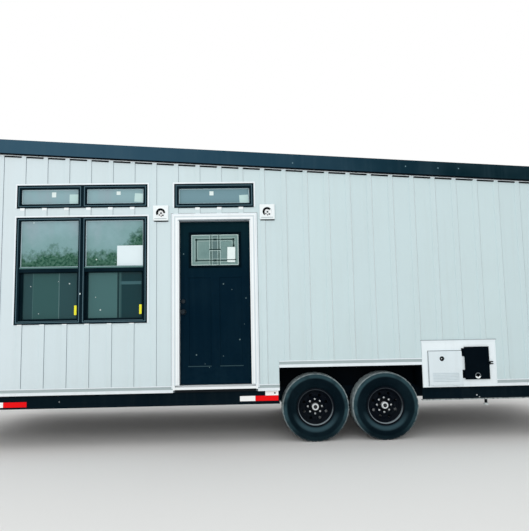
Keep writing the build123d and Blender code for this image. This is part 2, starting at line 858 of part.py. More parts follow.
def make_frame():
    x0 = front + side_rail_inset
    x1 = rear - side_rail_inset
    main_outer = -main_rail_y - rail_flange / 2
    main_inner = -main_rail_y + rail_flange / 2
    main = channel(x0, x1, main_outer, main_inner)
    save("main_rails", main, opposite(main))
    outer = near + side_rail_inset
    sides = []
    for start, end in ((x0, arch_start), (arch_end, x1)):
        side = channel(start, end, outer, outer + rail_flange)
        sides += [side, opposite(side)]
    save("side_rails", *sides)
    members = []
    pitch = (x1 - x0 - cross_member_width) / (cross_member_count - 1)
    foot = base_height - cross_member_height
    for step in range(cross_member_count):
        start = x0 + step * pitch
        end = start + cross_member_width
        members.append(block(start, end, main_inner, -main_inner, foot, base_height))
        if end < arch_start or start > arch_end:
            arm = block(start, end, outer + rail_flange, main_outer, foot, base_height)
            members += [arm, opposite(arm)]
    save("cross_members", *members)


def make_drain():
    """A drain stub that hangs from the floor behind the side rail, with a collar on its end."""
    x = front + drain_x
    y = near + drain_setback
    stub = rod(x, y, drain_foot, drain_radius, base_height - drain_foot, "Z")
    stub += rod(x, y, drain_foot, drain_collar_radius, drain_collar_height, "Z")
    stub -= rod(x, y, drain_foot - past, drain_radius - drain_wall, base_height - drain_foot + past, "Z")
    save("drain_stub", stub)


def make_tongue():
    """The A-frame in front of the house: two channels, a coupler and a jack."""
    nose = front - tongue_length + coupler_length
    root = front + side_rail_inset
    plate = coupler_width / 2
    tip = plate + rail_flange
    wide = tongue_spread + rail_flange / 2
    spread = (wide - tip) / (root - nose)
    outline = Polyline((nose, -tip), (nose, -plate), (root, rail_flange - wide), (root, -wide), close=True)
    beam = extrude(Pos(0, 0, rail_foot) * make_face(outline), amount=rail_height)
    inside = Pos(0, -rail_web, rail_foot + rail_web) * make_face(outline)
    beam -= extrude(inside, amount=rail_height - 2 * rail_web)
    save("tongue_beam_near", beam)
    save("tongue_beam_far", opposite(beam))

    ball_x = front - tongue_length + coupler_radius
    foot = rail_foot + coupler_drop
    height = rail_height - 2 * coupler_drop
    head = Pos(ball_x, 0) * Circle(coupler_radius)
    neck = make_hull([*head.edges(), Line((nose, -plate), (nose, plate))])
    flare = plate + spread * coupler_lap
    back = nose + coupler_lap
    skirt = make_face(Polyline((nose, -plate), (nose, plate), (back, flare), (back, -flare), close=True))
    body = extrude(Pos(0, 0, foot) * (neck + skirt), amount=height)
    body = fillet(body.faces().sort_by(Axis.Z)[-1].edges(), coupler_round)
    body -= Pos(ball_x, 0, foot + ball_radius) * Sphere(ball_radius)
    body -= rod(ball_x, 0, foot - past, ball_radius, ball_radius + past, "Z")
    lever = SlotOverall(latch_lever_length, latch_lever_width)
    lever_x = ball_x + latch_lever_length / 2
    body += extrude(Pos(lever_x, 0, foot + height) * lever, amount=latch_lever_height)
    save("coupler", body)

    jack_place = front - tongue_length + jack_x
    sleeve_foot = rail_foot - jack_sleeve_drop
    sleeve_top = base_height + jack_top
    jack = rod(jack_place, 0, sleeve_foot, jack_radius, sleeve_top - sleeve_foot, "Z")
    jack += rod(jack_place, 0, jack_foot_thickness, jack_leg_radius, sleeve_foot - jack_foot_thickness, "Z")
    jack += block(jack_place - jack_foot_size / 2, jack_place + jack_foot_size / 2, -jack_foot_size / 2,
                  jack_foot_size / 2, 0, jack_foot_thickness)
    reach = tip + spread * (jack_place - nose)
    jack += block(jack_place - jack_plate_half, jack_place + jack_plate_half, -reach, reach, base_height,
                  base_height + jack_plate_gauge)
    crank_z = sleeve_top - crank_drop
    arm_y = jack_radius + crank_arm / 3
    jack += rod(jack_place, 0, crank_z, crank_radius, arm_y, "Y")
    jack += rod(jack_place, arm_y, crank_z - crank_arm, crank_radius, crank_arm, "Z")
    jack += Pos(jack_place, arm_y, crank_z) * Sphere(crank_elbow_radius)
    jack += rod(jack_place, arm_y - crank_elbow_radius, crank_z - crank_arm, crank_grip_radius,
                crank_grip_length, "Y")
    save("tongue_jack", jack)


# Springs
spring_half = spring_span / 2
leaf_radius = (spring_half ** 2 + spring_arch ** 2) / (2 * spring_arch)


def leaf(step):
    """One curved leaf of the pack, counted from the longest one on top."""
    inside = leaf_radius + step * leaf_gauge
    reach = spring_half - step * leaf_step
    strip = Circle(inside + leaf_gauge) - Circle(inside)
    length = Pos(0, -leaf_radius) * Rectangle(2 * reach, leaf_radius)
    return across(Pos(0, leaf_top + leaf_radius) * (strip & length), spring_width)


def spring_pack():
    """Leaves that lie on the axle, with an eye at each end of the longest and two clips round the pack."""
    pack = leaf(0)
    for step in range(1, leaf_count):
        pack += leaf(step)
    clip_leaves = 1 + int((spring_half - clip_place) / leaf_step)
    clip_top = leaf_top + clip_place ** 2 / (2 * leaf_radius) + clip_gauge
    clip_foot = clip_top - clip_leaves * leaf_gauge - 2 * clip_gauge
    clip_half = spring_width / 2 + clip_gauge
    for side in (-1, 1):
        middle = side * clip_place
        pack += block(middle - clip_width / 2, middle + clip_width / 2,
                      -clip_half, clip_half, clip_foot, clip_top)
        pack += rod(side * spring_half, -spring_width / 2, eye_z, eye_radius, spring_width, "Y")
    for side in (-1, 1):
        pack -= rod(side * spring_half, -spring_width, eye_z, eye_bolt_radius, 2 * spring_width, "Y")
    return pack


def bolt(x, z, half):
    """A bolt across the springs, with a hexagonal head at one end and a nut at the other."""
    shank = rod(x, -half, z, eye_bolt_radius - bolt_clearance, 2 * half, "Y")
    head = across(Pos(x, z) * RegularPolygon(bolt_head_radius, 6), bolt_end)
    return shank + Pos(0, -half - bolt_end / 2, 0) * head + Pos(0, half + bolt_end / 2, 0) * head


def hanger(x, z):
    """Two cheeks under the frame rail and the bolt that they hold at a height."""
    top = Line((x - hanger_length / 2, rail_foot), (x + hanger_length / 2, rail_foot))
    foot = Pos(x, z) * Circle(hanger_foot_radius)
    cheek = across(make_hull([*foot.edges(), top]), hanger_gauge)
    offset = spring_width / 2 + spring_side_play + hanger_gauge / 2
    pair = Pos(0, -offset, 0) * cheek + Pos(0, offset, 0) * cheek
    bridge = block(x - hanger_length / 2, x + hanger_length / 2, -offset, offset,
                   rail_foot - hanger_gauge, rail_foot)
    return pair + bridge + bolt(x, z, offset + hanger_gauge / 2)


def shackle(upper, lower):
    """Two straps side by side, with a bolt through each of their ends."""
    middle = ((upper[0] + lower[0]) / 2, (upper[1] + lower[1]) / 2)
    lean = degrees(asin((upper[0] - lower[0]) / shackle_length))
    outline = Pos(*middle) * Rot(0, 0, 90 - lean) * SlotCenterToCenter(shackle_length, strap_width)
    offset = spring_width / 2 + strap_gap + strap_gauge / 2
    straps = across(outline, strap_gauge)
    half = offset + strap_gauge / 2
    pair = Pos(0, -offset, 0) * straps + Pos(0, offset, 0) * straps
    return pair + bolt(*upper, half) + bolt(*lower, half)


def equaliser(x, end_z, pivot_z):
    """The rocker between the springs, with a sleeve round each of its three bolts."""
    places = [(x, pivot_z, equaliser_pivot_radius), (x - equaliser_half, end_z, equaliser_end_radius),
              (x + equaliser_half, end_z, equaliser_end_radius)]
    circles = [Pos(u, z) * Circle(radius) for u, z, radius in places]
    rocker = across(make_hull([edge for circle in circles for edge in circle.edges()]), equaliser_gauge)
    for u, z, radius in places:
        rocker += rod(u, -spring_width / 2, z, radius, spring_width, "Y")
    for u, z, radius in places:
        rocker -= rod(u, -spring_width, z, eye_bolt_radius, 2 * spring_width, "Y")
    return rocker


def clamp(x):
    """The plate over a spring and the two bolts that hold both down, each bent round the axle."""
    leg_x = axle_radius + clamp_gap + clamp_rod_radius
    leg_y = spring_width / 2 + clamp_gap + clamp_rod_radius
    half = leg_x + clamp_plate_margin
    plate_foot = leaf_top + half ** 2 / (2 * leaf_radius)
    plate_top = plate_foot + clamp_plate_gauge
    side = leg_y + clamp_plate_margin
    piece = block(x - half, x + half, -side, side, plate_foot, plate_top)
    bend = Pos(x, 0, axle_z) * Rot(90, 0, 0) * Torus(leg_x, clamp_rod_radius)
    bend -= block(x - 2 * leg_x, x + 2 * leg_x, -leg_x, leg_x, axle_z, axle_z + 2 * leg_x)
    nut = extrude(RegularPolygon(clamp_nut_radius, 6), amount=clamp_nut_height)
    for y in (-leg_y, leg_y):
        piece += Pos(0, y, 0) * bend
        for leg in (x - leg_x, x + leg_x):
            piece += rod(leg, y, axle_z, clamp_rod_radius, plate_top - axle_z, "Z")
            piece += Pos(leg, y, plate_top) * nut
    return piece


def make_suspension():
    """Springs under both main rails, hung at their outer ends and joined through an equaliser."""
    outer_eyes = (wheel_places[0] - spring_half, wheel_places[1] + spring_half)
    inner_eyes = (wheel_places[0] + spring_half, wheel_places[1] - spring_half)
    lean = equaliser_half - (inner_eyes[1] - inner_eyes[0]) / 2
    end_z = eye_z + sqrt(shackle_length ** 2 - lean ** 2)
    rocker = equaliser(axle_group, end_z, end_z)
    shackles = [shackle((axle_group + side * equaliser_half, end_z), (eye, eye_z))
                for side, eye in zip((-1, 1), inner_eyes)]
    hangers = [hanger(outer_eyes[0], eye_z), hanger(axle_group, end_z), hanger(outer_eyes[1], eye_z)]
    pack = spring_pack()
    packs = [Pos(x, 0, 0) * pack for x in wheel_places]
    clamps = [clamp(x) for x in wheel_places]
    both = [Pos(0, -main_rail_y, 0), Pos(0, main_rail_y, 0)]
    save("leaf_springs", *[place * piece for place in both for piece in packs])
    save("spring_hangers", *[place * piece for place in both for piece in hangers])
    save("spring_clamps", *[place * piece for place in both for piece in clamps])
    save("equalisers", *[place * piece for place in both for piece in (rocker, *shackles)])


# Axles
def make_axles():
    """Two dropped axles: a low tube, and at each end a drop arm, a backing plate and a spindle."""
    axles = []
    backing = -hub_flange - drum_depth - moving_clearance
    face = wheel_y + backing
    arm_out = face - backing_gauge
    arm_in = arm_out - drop_arm_gauge
    for x in wheel_places:
        slot = Rot(0, 0, 90) * SlotCenterToCenter(axle_drop, 2 * drop_arm_radius)
        arm = Pos(x, (axle_z + tyre_radius) / 2) * slot
        end = Pos(0, arm_in + drop_arm_gauge / 2, 0) * across(arm, drop_arm_gauge)
        end += rod(x, arm_out, tyre_radius, backing_radius, backing_gauge, "Y")
        end += rod(x, face, tyre_radius, spindle_radius, wheel_y + spindle_length - face, "Y")
        saddle = block(x - seat_half, x + seat_half, main_rail_y - spring_width / 2,
                       main_rail_y + spring_width / 2, axle_z, axle_z + axle_radius + seat_gauge)
        side = end + saddle
        axles.append(rod(x, -arm_in, axle_z, axle_radius, 2 * arm_in, "Y") + side + opposite(side))
    save("axles", *axles)


# Wheels
def turned(points):
    """A ring turned about the wheel's axle from (radius, outward offset) points."""
    outline = make_face(Polyline(*[(radius, -offset, 0) for radius, offset in points], close=True))
    return revolve(outline, Axis.Y)


def tyre():
    """The casing, with rounded sidewalls and shoulders."""
    half = tyre_width / 2
    bead = bead_half_width
    start = rim_radius + tyre_bead_lap
    widest = (tyre_radius + rim_radius) / 2
    shoulder = (tyre_radius - shoulder_drop, shoulder_inset - half, 0)
    edge = (tyre_radius - tread_edge_drop, tread_edge_inset - half, 0)
    crown = (tyre_radius, tread_inset - half, 0)
    right = [Line((bead_radius, -bead, 0), (start, -bead, 0)),
             ThreePointArc((start, -bead, 0), (widest, -half, 0), shoulder),
             ThreePointArc(shoulder, edge, crown)]
    left = [mirror(part, about=Plane.XZ) for part in right]
    tread = Line(crown, (crown[0], -crown[1], 0))
    bore = Line((bead_radius, -bead, 0), (bead_radius, bead, 0))
    return revolve(make_face([*right, *left, tread, bore]), Axis.Y)


def wheel():
    """The rim and its dished disc, with hand holes and the row of studs' holes."""
    seat_end = bead_half_width - seat_length
    drop_end = seat_end - drop_slope
    flange = bead_half_width + rim_gauge
    under = [(rim_radius, flange), (bead_radius - rim_gauge, flange), (bead_radius - rim_gauge, seat_end),
             (drop_radius, drop_end)]
    over = [(drop_radius + rim_gauge, drop_end), (bead_radius, seat_end), (bead_radius, bead_half_width),
            (rim_radius, bead_half_width)]
    other_under = [(r, -y) for r, y in reversed(under)]
    other_over = [(r, -y) for r, y in reversed(over)]
    rim = turned([*under, *other_under, *other_over, *over])
    inside = [(pilot_radius, 0), (hub_flange_radius, 0), (disc_crown_radius, disc_crown_rise),
              (drop_radius, disc_root_rise)]
    disc = turned([*inside, *[(r, y + disc_gauge) for r, y in reversed(inside)]])
    depth = disc_crown_rise + disc_gauge
    for step in range(stud_count):
        turn = Rot(0, (step + 0.5) * 360 / stud_count, 0)
        disc -= turn * rod(hand_hole_circle, -depth - past, 0, hand_hole_radius, depth + 2 * past, "Y")
        stud_turn = Rot(0, step * 360 / stud_count, 0)
        stud_hole = rod(stud_circle_radius, -depth - past, 0, stud_hole_radius, depth + 2 * past, "Y")
        disc -= stud_turn * stud_hole
    return rim + disc


def hub():
    """The hub and brake drum in one, with its nose, its cap, and the studs and nuts that hold the wheel."""
    drum_back = -hub_flange - drum_depth
    drum_face = -hub_flange - drum_wall
    bore = spindle_radius + spindle_clearance
    bore_end = spindle_length + spindle_end_gap
    lip = drum_radius - drum_wall
    plug_face = hub_cap_reach - cap_plug_depth
    body = turned([(0, bore_end), (bore, bore_end), (bore, drum_back),
                   (bearing_radius, drum_back), (bearing_radius, drum_face),
                   (lip, drum_face), (lip, drum_back), (drum_radius, drum_back),
                   (drum_radius, -hub_flange), (hub_flange_radius, -hub_flange),
                   (hub_flange_radius, 0), (hub_nose_radius, 0),
                   (hub_nose_radius, hub_nose_length), (hub_cap_radius, hub_nose_length),
                   (hub_cap_radius, hub_cap_reach - hub_cap_bevel),
                   (hub_cap_radius - hub_cap_bevel, hub_cap_reach),
                   (cap_plug_radius, hub_cap_reach), (cap_plug_radius, plug_face),
                   (0, plug_face)])
    nut = extrude(RegularPolygon(nut_radius, 6), amount=nut_height)
    nut = chamfer(nut.faces().sort_by(Axis.Z)[-1].edges(), nut_bevel)
    stud = rod(0, 0, -past, stud_radius, disc_gauge + nut_height + stud_end + past, "Z")
    fastener = stud + Pos(0, 0, disc_gauge) * nut
    for step in range(stud_count):
        turn = Rot(0, step * 360 / stud_count, 0)
        body += turn * Pos(stud_circle_radius, 0, 0) * Rot(90, 0, 0) * fastener
    return body


def make_wheels():
    pieces = {"tyre": tyre(), "wheel": wheel(), "hub": hub()}
    for place, x in zip(("front", "rear"), wheel_places):
        for side, y in (("near", -wheel_y), ("far", wheel_y)):
            for name, piece in pieces.items():
                shown = piece if side == "near" else opposite(piece)
                save(f"{name}_{place}_{side}", Pos(x, y, tyre_radius) * shown)


os.makedirs("parts", exist_ok=True)
make_walls()
make_floor()
make_roof()
make_wall_trims()
make_windows()
make_door()
make_door_frame()
make_light_blocks()
make_utility_panel()
make_hatch()
make_heater()
make_wheel_wells()
make_frame()
make_drain()
make_tongue()
make_suspension()
make_axles()
make_wheels()
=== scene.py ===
from math import atan2, ceil, cos, hypot, pi, radians, sin

import bmesh
import bpy
from mathutils import Matrix, Vector


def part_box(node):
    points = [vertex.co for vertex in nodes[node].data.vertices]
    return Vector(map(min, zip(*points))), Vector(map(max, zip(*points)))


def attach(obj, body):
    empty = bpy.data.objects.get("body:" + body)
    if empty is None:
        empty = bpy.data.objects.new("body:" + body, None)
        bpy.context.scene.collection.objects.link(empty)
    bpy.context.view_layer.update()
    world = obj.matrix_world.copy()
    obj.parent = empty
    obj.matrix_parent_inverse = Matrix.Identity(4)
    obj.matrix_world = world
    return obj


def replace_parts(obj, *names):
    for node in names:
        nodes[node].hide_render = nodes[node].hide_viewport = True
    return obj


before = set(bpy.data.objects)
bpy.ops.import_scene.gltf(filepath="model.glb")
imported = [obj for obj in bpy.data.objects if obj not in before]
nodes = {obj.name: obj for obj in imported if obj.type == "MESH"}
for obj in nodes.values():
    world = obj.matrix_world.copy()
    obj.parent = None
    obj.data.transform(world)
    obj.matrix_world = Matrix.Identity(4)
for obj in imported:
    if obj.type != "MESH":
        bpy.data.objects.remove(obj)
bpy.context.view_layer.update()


# Siding
# Prefinished steel board-and-batten cladding, screwed to the walls through its hidden edges. Each length
# has a flat pan and a narrow raised batten, and a shadow gap where the next length hooks on. It stops
# inside the trims round every opening.
wall_low, wall_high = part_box("door_side_wall_front")
front, near, wall_foot, front_head = wall_low.x, wall_low.y, wall_low.z, wall_high.z
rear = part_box("rear_wall")[1].x
house_middle, half_length = (front + rear) / 2, (rear - front) / 2
roof_fall = 0.0625
corner_post = 0.060
post_lap = 0.004
siding_pitch = 0.254
siding_start = 0.0255
end_siding_start = siding_start + 0.05
batten_width = 0.058
shadow_gap = 0.005
sheet_clearance = 0.001
pan_depth = 0.004
batten_depth = 0.0105
batten_ease = 0.0025
base_height = 0.075
siding_foot = wall_foot + base_height
frieze_height = 0.024
frieze_lap = 0.012


def roof_line(x):
    """Height of the roof's underside at a place along the house."""
    return front_head - roof_fall * (x - front)


def tint(colour):
    """The light that a paint chart's colour, from 0 to 255, throws back. A node's output stays as it is."""
    if isinstance(colour, bpy.types.NodeSocket):
        return colour
    parts = [value / 255 for value in colour]
    return [p / 12.92 if p <= 0.04045 else ((p + 0.055) / 1.055) ** 2.4 for p in parts] + [1.0]


class Nodes:
    """Adds nodes to the tree of a material or a group."""

    def __init__(self, tree, place=None):
        self.tree, self.place = tree, place

    def join(self, node, inputs):
        """Sets a node's inputs to values, or joins them to other nodes' outputs."""
        for key, value in inputs.items():
            if isinstance(value, bpy.types.NodeSocket):
                self.tree.links.new(value, node.inputs[key])
            else:
                node.inputs[key].default_value = value

    def add(self, kind, inputs, **options):
        """Adds a node and gives its outputs."""
        node = self.tree.nodes.new(kind)
        for name, value in options.items():
            setattr(node, name, value)
        self.join(node, inputs)
        return node.outputs

    def math(self, kind, *values, **options):
        """One step of arithmetic."""
        return self.add("ShaderNodeMath", dict(enumerate(values)), operation=kind, **options)[0]

    def times(self, first, *others):
        """Masks multiplied with each other."""
        for other in others:
            first = self.math("MULTIPLY", first, other)
        return first

    def apart(self, value, middle=0.0):
        """How far a value is from a middle."""
        return self.math("ABSOLUTE", self.math("SUBTRACT", value, middle))

    def ramp(self, value, low=0.0, high=1.0, least=0.0, most=1.0):
        """Runs from least to most as a value runs from low to high."""
        return self.add("ShaderNodeMapRange", {0: value, 1: low, 2: high, 3: least, 4: most})[0]

    def blend(self, mask, first, second):
        """Mixes two colours by a mask."""
        return self.add("ShaderNodeMix", {0: mask, 6: tint(first), 7: tint(second)}, data_type="RGBA")[2]

    def stretch(self, scale, **more):
        """The place of each point, scaled along each axis."""
        return self.add("ShaderNodeMapping", {"Vector": self.place, "Scale": scale, **more})[0]

    def noise(self, scale, detail, place=None, **more):
        """A cloudy pattern."""
        place = self.place if place is None else place
        return self.add("ShaderNodeTexNoise", {"Vector": place, "Scale": scale, "Detail": detail,
                                               **more})[0]

    def axes(self, vector=None):
        """The three parts of a vector, or of the place of each point."""
        return self.add("ShaderNodeSeparateXYZ", {0: self.place if vector is None else vector})[:]


def make_weathering():
    """Dirt on a surface: soft blotches, streaks that run down it, and dust that thins out with height."""
    group = bpy.data.node_groups.new("weathering", "ShaderNodeTree")
    for name, kind in (("Place", "Vector"), ("Paint", "Color"), ("Dirt", "Color"), ("Blotches", "Float"),
                       ("Streaks", "Float"), ("Dust", "Float"), ("Dust Top", "Float")):
        group.interface.new_socket(name, in_out="INPUT", socket_type="NodeSocket" + kind)
    for name, kind in (("Colour", "Color"), ("Grime", "Float")):
        group.interface.new_socket(name, in_out="OUTPUT", socket_type="NodeSocket" + kind)
    given = group.nodes.new("NodeGroupInput").outputs
    made = Nodes(group, given["Place"])
    blotches = made.ramp(made.noise(2.3, 5.0), 0.42, 0.75)
    streaks = made.ramp(made.noise(1.0, 3.0, made.stretch((17.0, 17.0, 0.8))), 0.5, 0.8)
    low = made.ramp(made.axes()[2], given["Dust Top"], 0.0)
    fine = made.ramp(made.noise(23.0, 6.0), 0.3, 0.7)
    total = made.times(blotches, given["Blotches"])
    total = made.math("ADD", total, made.times(streaks, given["Streaks"]), use_clamp=True)
    total = made.math("ADD", total, made.times(low, given["Dust"], fine), use_clamp=True)
    colour = made.blend(total, given["Paint"], given["Dirt"])
    made.join(group.nodes.new("NodeGroupOutput"), {"Colour": colour, "Grime": total})
    return group


weathering = make_weathering()


class Finish(Nodes):
    """A material in the making, with its shader and the place of each point on the piece."""

    def __init__(self, name):
        self.material = bpy.data.materials.new(name)
        self.material.use_nodes = True
        super().__init__(self.material.node_tree)
        self.shader = self.tree.nodes["Principled BSDF"]
        self.place = self.add("ShaderNodeTexCoord", {})["Object"]

    def weather(self, paint, dirt, blotches, streaks, dust, dust_top):
        """Lays weathering on a paint, and gives the colour and the grime."""
        made = self.add("ShaderNodeGroup", {"Place": self.place, "Paint": tint(paint), "Dirt": tint(dirt),
                                            "Blotches": blotches, "Streaks": streaks, "Dust": dust,
                                            "Dust Top": dust_top}, node_tree=weathering)
        return made["Colour"], made["Grime"]

    def facing(self):
        """The three parts of the way that the surface faces."""
        return self.axes(self.add("ShaderNodeNewGeometry", {})["Normal"])

    def reach(self):
        """How far a point is from its axle, as noted on the mesh."""
        return self.add("ShaderNodeAttribute", {}, attribute_name="reach")["Fac"]

    def marks(self, half, spots):
        """A mask of small squares, each about a place along the house and up it."""
        x, _, z = self.axes()
        total = 0.0
        for along, up in spots:
            total = self.math("MULTIPLY_ADD", self.math("COMPARE", x, along, half),
                              self.math("COMPARE", z, up, half), total)
        return total

    def relief(self, height, strength, depth):
        """Lets a height pattern show as relief."""
        bump = self.add("ShaderNodeBump", {"Strength": strength, "Distance": depth, "Height": height})[0]
        self.join(self.shader, {"Normal": bump})

    def settle(self, colour, rough, shine=0.5, more=()):
        """Gives the shader its colour, shine and roughness, which can follow grime between two ends."""
        if isinstance(rough, tuple):
            rough = self.ramp(rough[0], 0.0, 1.0, *rough[1:])
        self.join(self.shader, {"Base Color": colour, "Roughness": rough, "Specular IOR Level": shine,
                                **dict(more)})


def fit(name, shape, material, body="house", rounded=False):
    """Turns a shape into a named piece with its finish, and fastens it to what it rides on."""
    mesh = bpy.data.meshes.new(name)
    shape.to_mesh(mesh)
    shape.free()
    mesh.materials.append(material)
    if rounded:
        mesh.shade_smooth()
        mesh.set_sharp_from_angle(angle=radians(32))
    piece = bpy.data.objects.new(name, mesh)
    bpy.context.scene.collection.objects.link(piece)
    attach(piece, body)
    return piece


def mirrored_copy(shape):
    """The same shape on the far side of the house."""
    spare = bpy.data.meshes.new("spare")
    shape.to_mesh(spare)
    copy = bmesh.new()
    copy.from_mesh(spare)
    bpy.data.meshes.remove(spare)
    bmesh.ops.transform(copy, verts=copy.verts[:], matrix=Matrix.Scale(-1, 4, (0, 1, 0)))
    bmesh.ops.reverse_faces(copy, faces=copy.faces[:])
    return copy


def outward(shape):
    """Turns all faces to look outwards."""
    bmesh.ops.recalc_face_normals(shape, faces=shape.faces[:])


def soften(shape, edges, ease):
    """Rounds edges a little."""
    bmesh.ops.bevel(shape, geom=list(edges), offset=ease, segments=2, profile=0.5, affect="EDGES",
                    material=-1)


def slice_sheet(sheet, point, normal, remove=False):
    """Cuts a sheet along a plane, and takes away what lies beyond it."""
    everything = sheet.verts[:] + sheet.edges[:] + sheet.faces[:]
    bmesh.ops.bisect_plane(sheet, geom=everything, dist=1e-6, plane_co=point, plane_no=normal,
                           clear_outer=remove)


def push(sheet, faces, depth):
    """Pushes faces outwards, towards -Y, with side walls behind them."""
    grown = bmesh.ops.extrude_face_region(sheet, geom=faces)["geom"]
    moved = [item for item in grown if isinstance(item, bmesh.types.BMVert)]
    bmesh.ops.translate(sheet, verts=moved, vec=(0, -depth, 0))
    return [item for item in grown if isinstance(item, bmesh.types.BMFace)]


def upright_grid(sheet, x0, x1, y, z0, z1):
    """Adds one face that stands at y, between two places along and two up."""
    place = Matrix.Translation(((x0 + x1) / 2, y, (z0 + z1) / 2)) @ Matrix.Rotation(pi / 2, 4, "X")
    bmesh.ops.create_grid(sheet, x_segments=1, y_segments=1, size=0.5,
                          matrix=place @ Matrix.Diagonal((x1 - x0, z1 - z0, 1, 1)))


def clad(start, end, groove, head, holes):
    """Cladding for one wall, flat against y = 0 and facing -Y, with grooves counted on from one of them."""
    sheet = bmesh.new()
    top = max(head(start), head(end))
    upright_grid(sheet, start, end, 0, siding_foot, top)
    grooves = [groove + step * siding_pitch for step in range(-1, ceil((end - start) / siding_pitch) + 1)]
    uprights = [x for g in grooves for x in (g - batten_width, g, g + shadow_gap)]
    uprights += [x for hole in holes for x in hole[:2]]
    for x in uprights:
        if start < x < end:
            slice_sheet(sheet, (x, 0, 0), (1, 0, 0))
    for z in [z for hole in holes for z in hole[2:]]:
        if siding_foot < z < top:
            slice_sheet(sheet, (0, 0, z), (0, 0, 1))
    slope = (head(start) - head(end)) / (end - start)
    slice_sheet(sheet, (start, 0, head(start)), (slope, 0, 1), remove=True)

    def open_at(face):
        middle = face.calc_center_median()
        return any(x0 < middle.x < x1 and z0 < middle.z < z1 for x0, x1, z0, z1 in holes)

    def between(face, before, after):
        return any(g - before < face.calc_center_median().x < g + after for g in grooves)

    bmesh.ops.delete(sheet, geom=[face for face in sheet.faces if open_at(face)], context="FACES")
    outer = push(sheet, [face for face in sheet.faces if not between(face, 0, shadow_gap)], pan_depth)
    crowns = push(sheet, [face for face in outer if between(face, batten_width, 0)],
                  batten_depth - pan_depth)
    rims = {edge for face in crowns for edge in face.edges
            if abs(edge.verts[0].co.x - edge.verts[1].co.x) < 1e-6
            and len(set(edge.link_faces) & set(crowns)) == 1}
    soften(sheet, rims, batten_ease)
    outward(sheet)
    return sheet


frames_low, frames_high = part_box("window_frames")
twin_width, twin_height = 1.511, 1.240
upper_gap, upper_height = 0.108, 0.272
transom_width, transom_height = 0.933, 0.286
twin = (frames_low.x, frames_low.x + twin_width, frames_low.z, frames_low.z + twin_height)
upper = (twin[0], twin[1], twin[3] + upper_gap, twin[3] + upper_gap + upper_height)
transom = (frames_high.x - transom_width, frames_high.x, frames_high.z - transom_height, frames_high.z)
door_low, door_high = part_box("entry_door")
stop_lap, casing_width = 0.020, 0.069
past_foot = wall_foot - 0.1
casing = (door_low.x + stop_lap - casing_width, door_high.x - stop_lap + casing_width, past_foot,
          door_high.z - stop_lap + casing_width)
arch_low, arch_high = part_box("door_side_wall_over_wheels")
arch = (arch_low.x - 0.001, arch_high.x + 0.001, past_foot, arch_low.z + base_height)
plate_low, plate_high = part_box("utility_panel")
plate = (plate_low.x, plate_high.x, past_foot, plate_high.z)
side_start, side_end = front + corner_post - post_lap, rear - corner_post + post_lap


def side_head(x):
    """Where the side cladding's head is tucked in under the roof's edge trim."""
    return roof_line(x) - frieze_height + frieze_lap


painted_shade_run = 4.5
gap_bottom = 0.002
gap_light_start, gap_light_full = -0.6, 1.2
siding = Finish("siding_paint")
x, y, _ = siding.axes()
# The paint is lighter at the front end and darker and bluer towards the rear: painted shade along the wall.
paint = siding.blend(siding.ramp(x, front, front + painted_shade_run), (213, 225, 230), (198, 217, 220))
board = siding.math("FLOOR", siding.math("DIVIDE", x, siding_pitch))
lot = siding.add("ShaderNodeTexWhiteNoise", {"W": board}, noise_dimensions="1D")[0]
paint = siding.blend(siding.ramp(lot, most=0.16), paint, (188, 206, 212))
paint, grime = siding.weather(paint, (168, 172, 166), 0.05, 0.08, 0.35, 0.85)
# On the side walls the batten flanks that face the rear are painted darker, as painted shade, and those
# that face the front paler, as a painted highlight.
facing = siding.facing()[0]
on_side = siding.math("LESS_THAN", siding.apart(x, house_middle), half_length - 0.02)
paint = siding.blend(siding.times(siding.ramp(facing, 0.6, 0.9), on_side), paint, (126, 138, 146))
paint = siding.blend(siding.times(siding.ramp(facing, -0.6, -0.9), on_side), paint, (222, 238, 241))
# The floor of each shadow gap on the side walls is painted near white, fully so rearwards of x = 1.2 m:
# painted light that takes away the gap's shade.
lit_gap_floor = siding.math("LESS_THAN", siding.apart(y), gap_bottom - near)
lit_gap_floor = siding.times(lit_gap_floor, siding.ramp(x, gap_light_start, gap_light_full), on_side)
siding.settle(siding.blend(lit_gap_floor, paint, (250, 254, 254)), (grime, 0.42, 0.75), 0.35)
siding.relief(siding.noise(1.6, 1.0, siding.stretch((2.5, 2.5, 0.9))), 0.3, 0.006)

channel_width = 0.019
tuck = channel_width - 0.003


def grown(box):
    """A hole in the cladding that reaches under the trim beside and over an opening."""
    return (box[0] - tuck, box[1] + tuck, box[2] + 0.003, box[3] + tuck)


window_holes = [grown(twin), grown(upper)]
first_groove = front + siding_start
for name, holes in (("siding_door_side", window_holes + [grown(transom), grown(casing), arch, plate]),
                    ("siding_far_side", window_holes + [arch])):
    sheet = clad(side_start, side_end, first_groove, side_head, holes)
    bmesh.ops.translate(sheet, verts=sheet.verts[:], vec=(0, near - sheet_clearance, 0))
    fit(name, mirrored_copy(sheet) if name == "siding_far_side" else sheet, siding.material)
half_width = -near - corner_post + post_lap
for name, x, out in (("siding_front_end", front, -1), ("siding_rear_end", rear, 1)):
    level = side_head(x)
    sheet = clad(-half_width, half_width, end_siding_start - half_width, lambda _: level, [])
    bmesh.ops.transform(sheet, verts=sheet.verts[:],
                        matrix=Matrix.Translation((x + out * sheet_clearance, 0, 0))
                        @ Matrix.Rotation(out * pi / 2, 4, "Z"))
    fit(name, sheet, siding.material)


# Walls and what lines them
# Framed walls, sheathed and wrapped outside in a dark weather barrier that shows only in the cladding's
# gaps, and lined inside with pale sanded plywood whose sheets butt every 1.22 m.
sheet_width, seam_width = 1.22, 0.004
wrap_depth = 0.0015


def coat(material, *names):
    """Gives a finish to parts that keep their own shape."""
    for name in names:
        slots = nodes[name].data.materials
        slots.clear()
        slots.append(material)


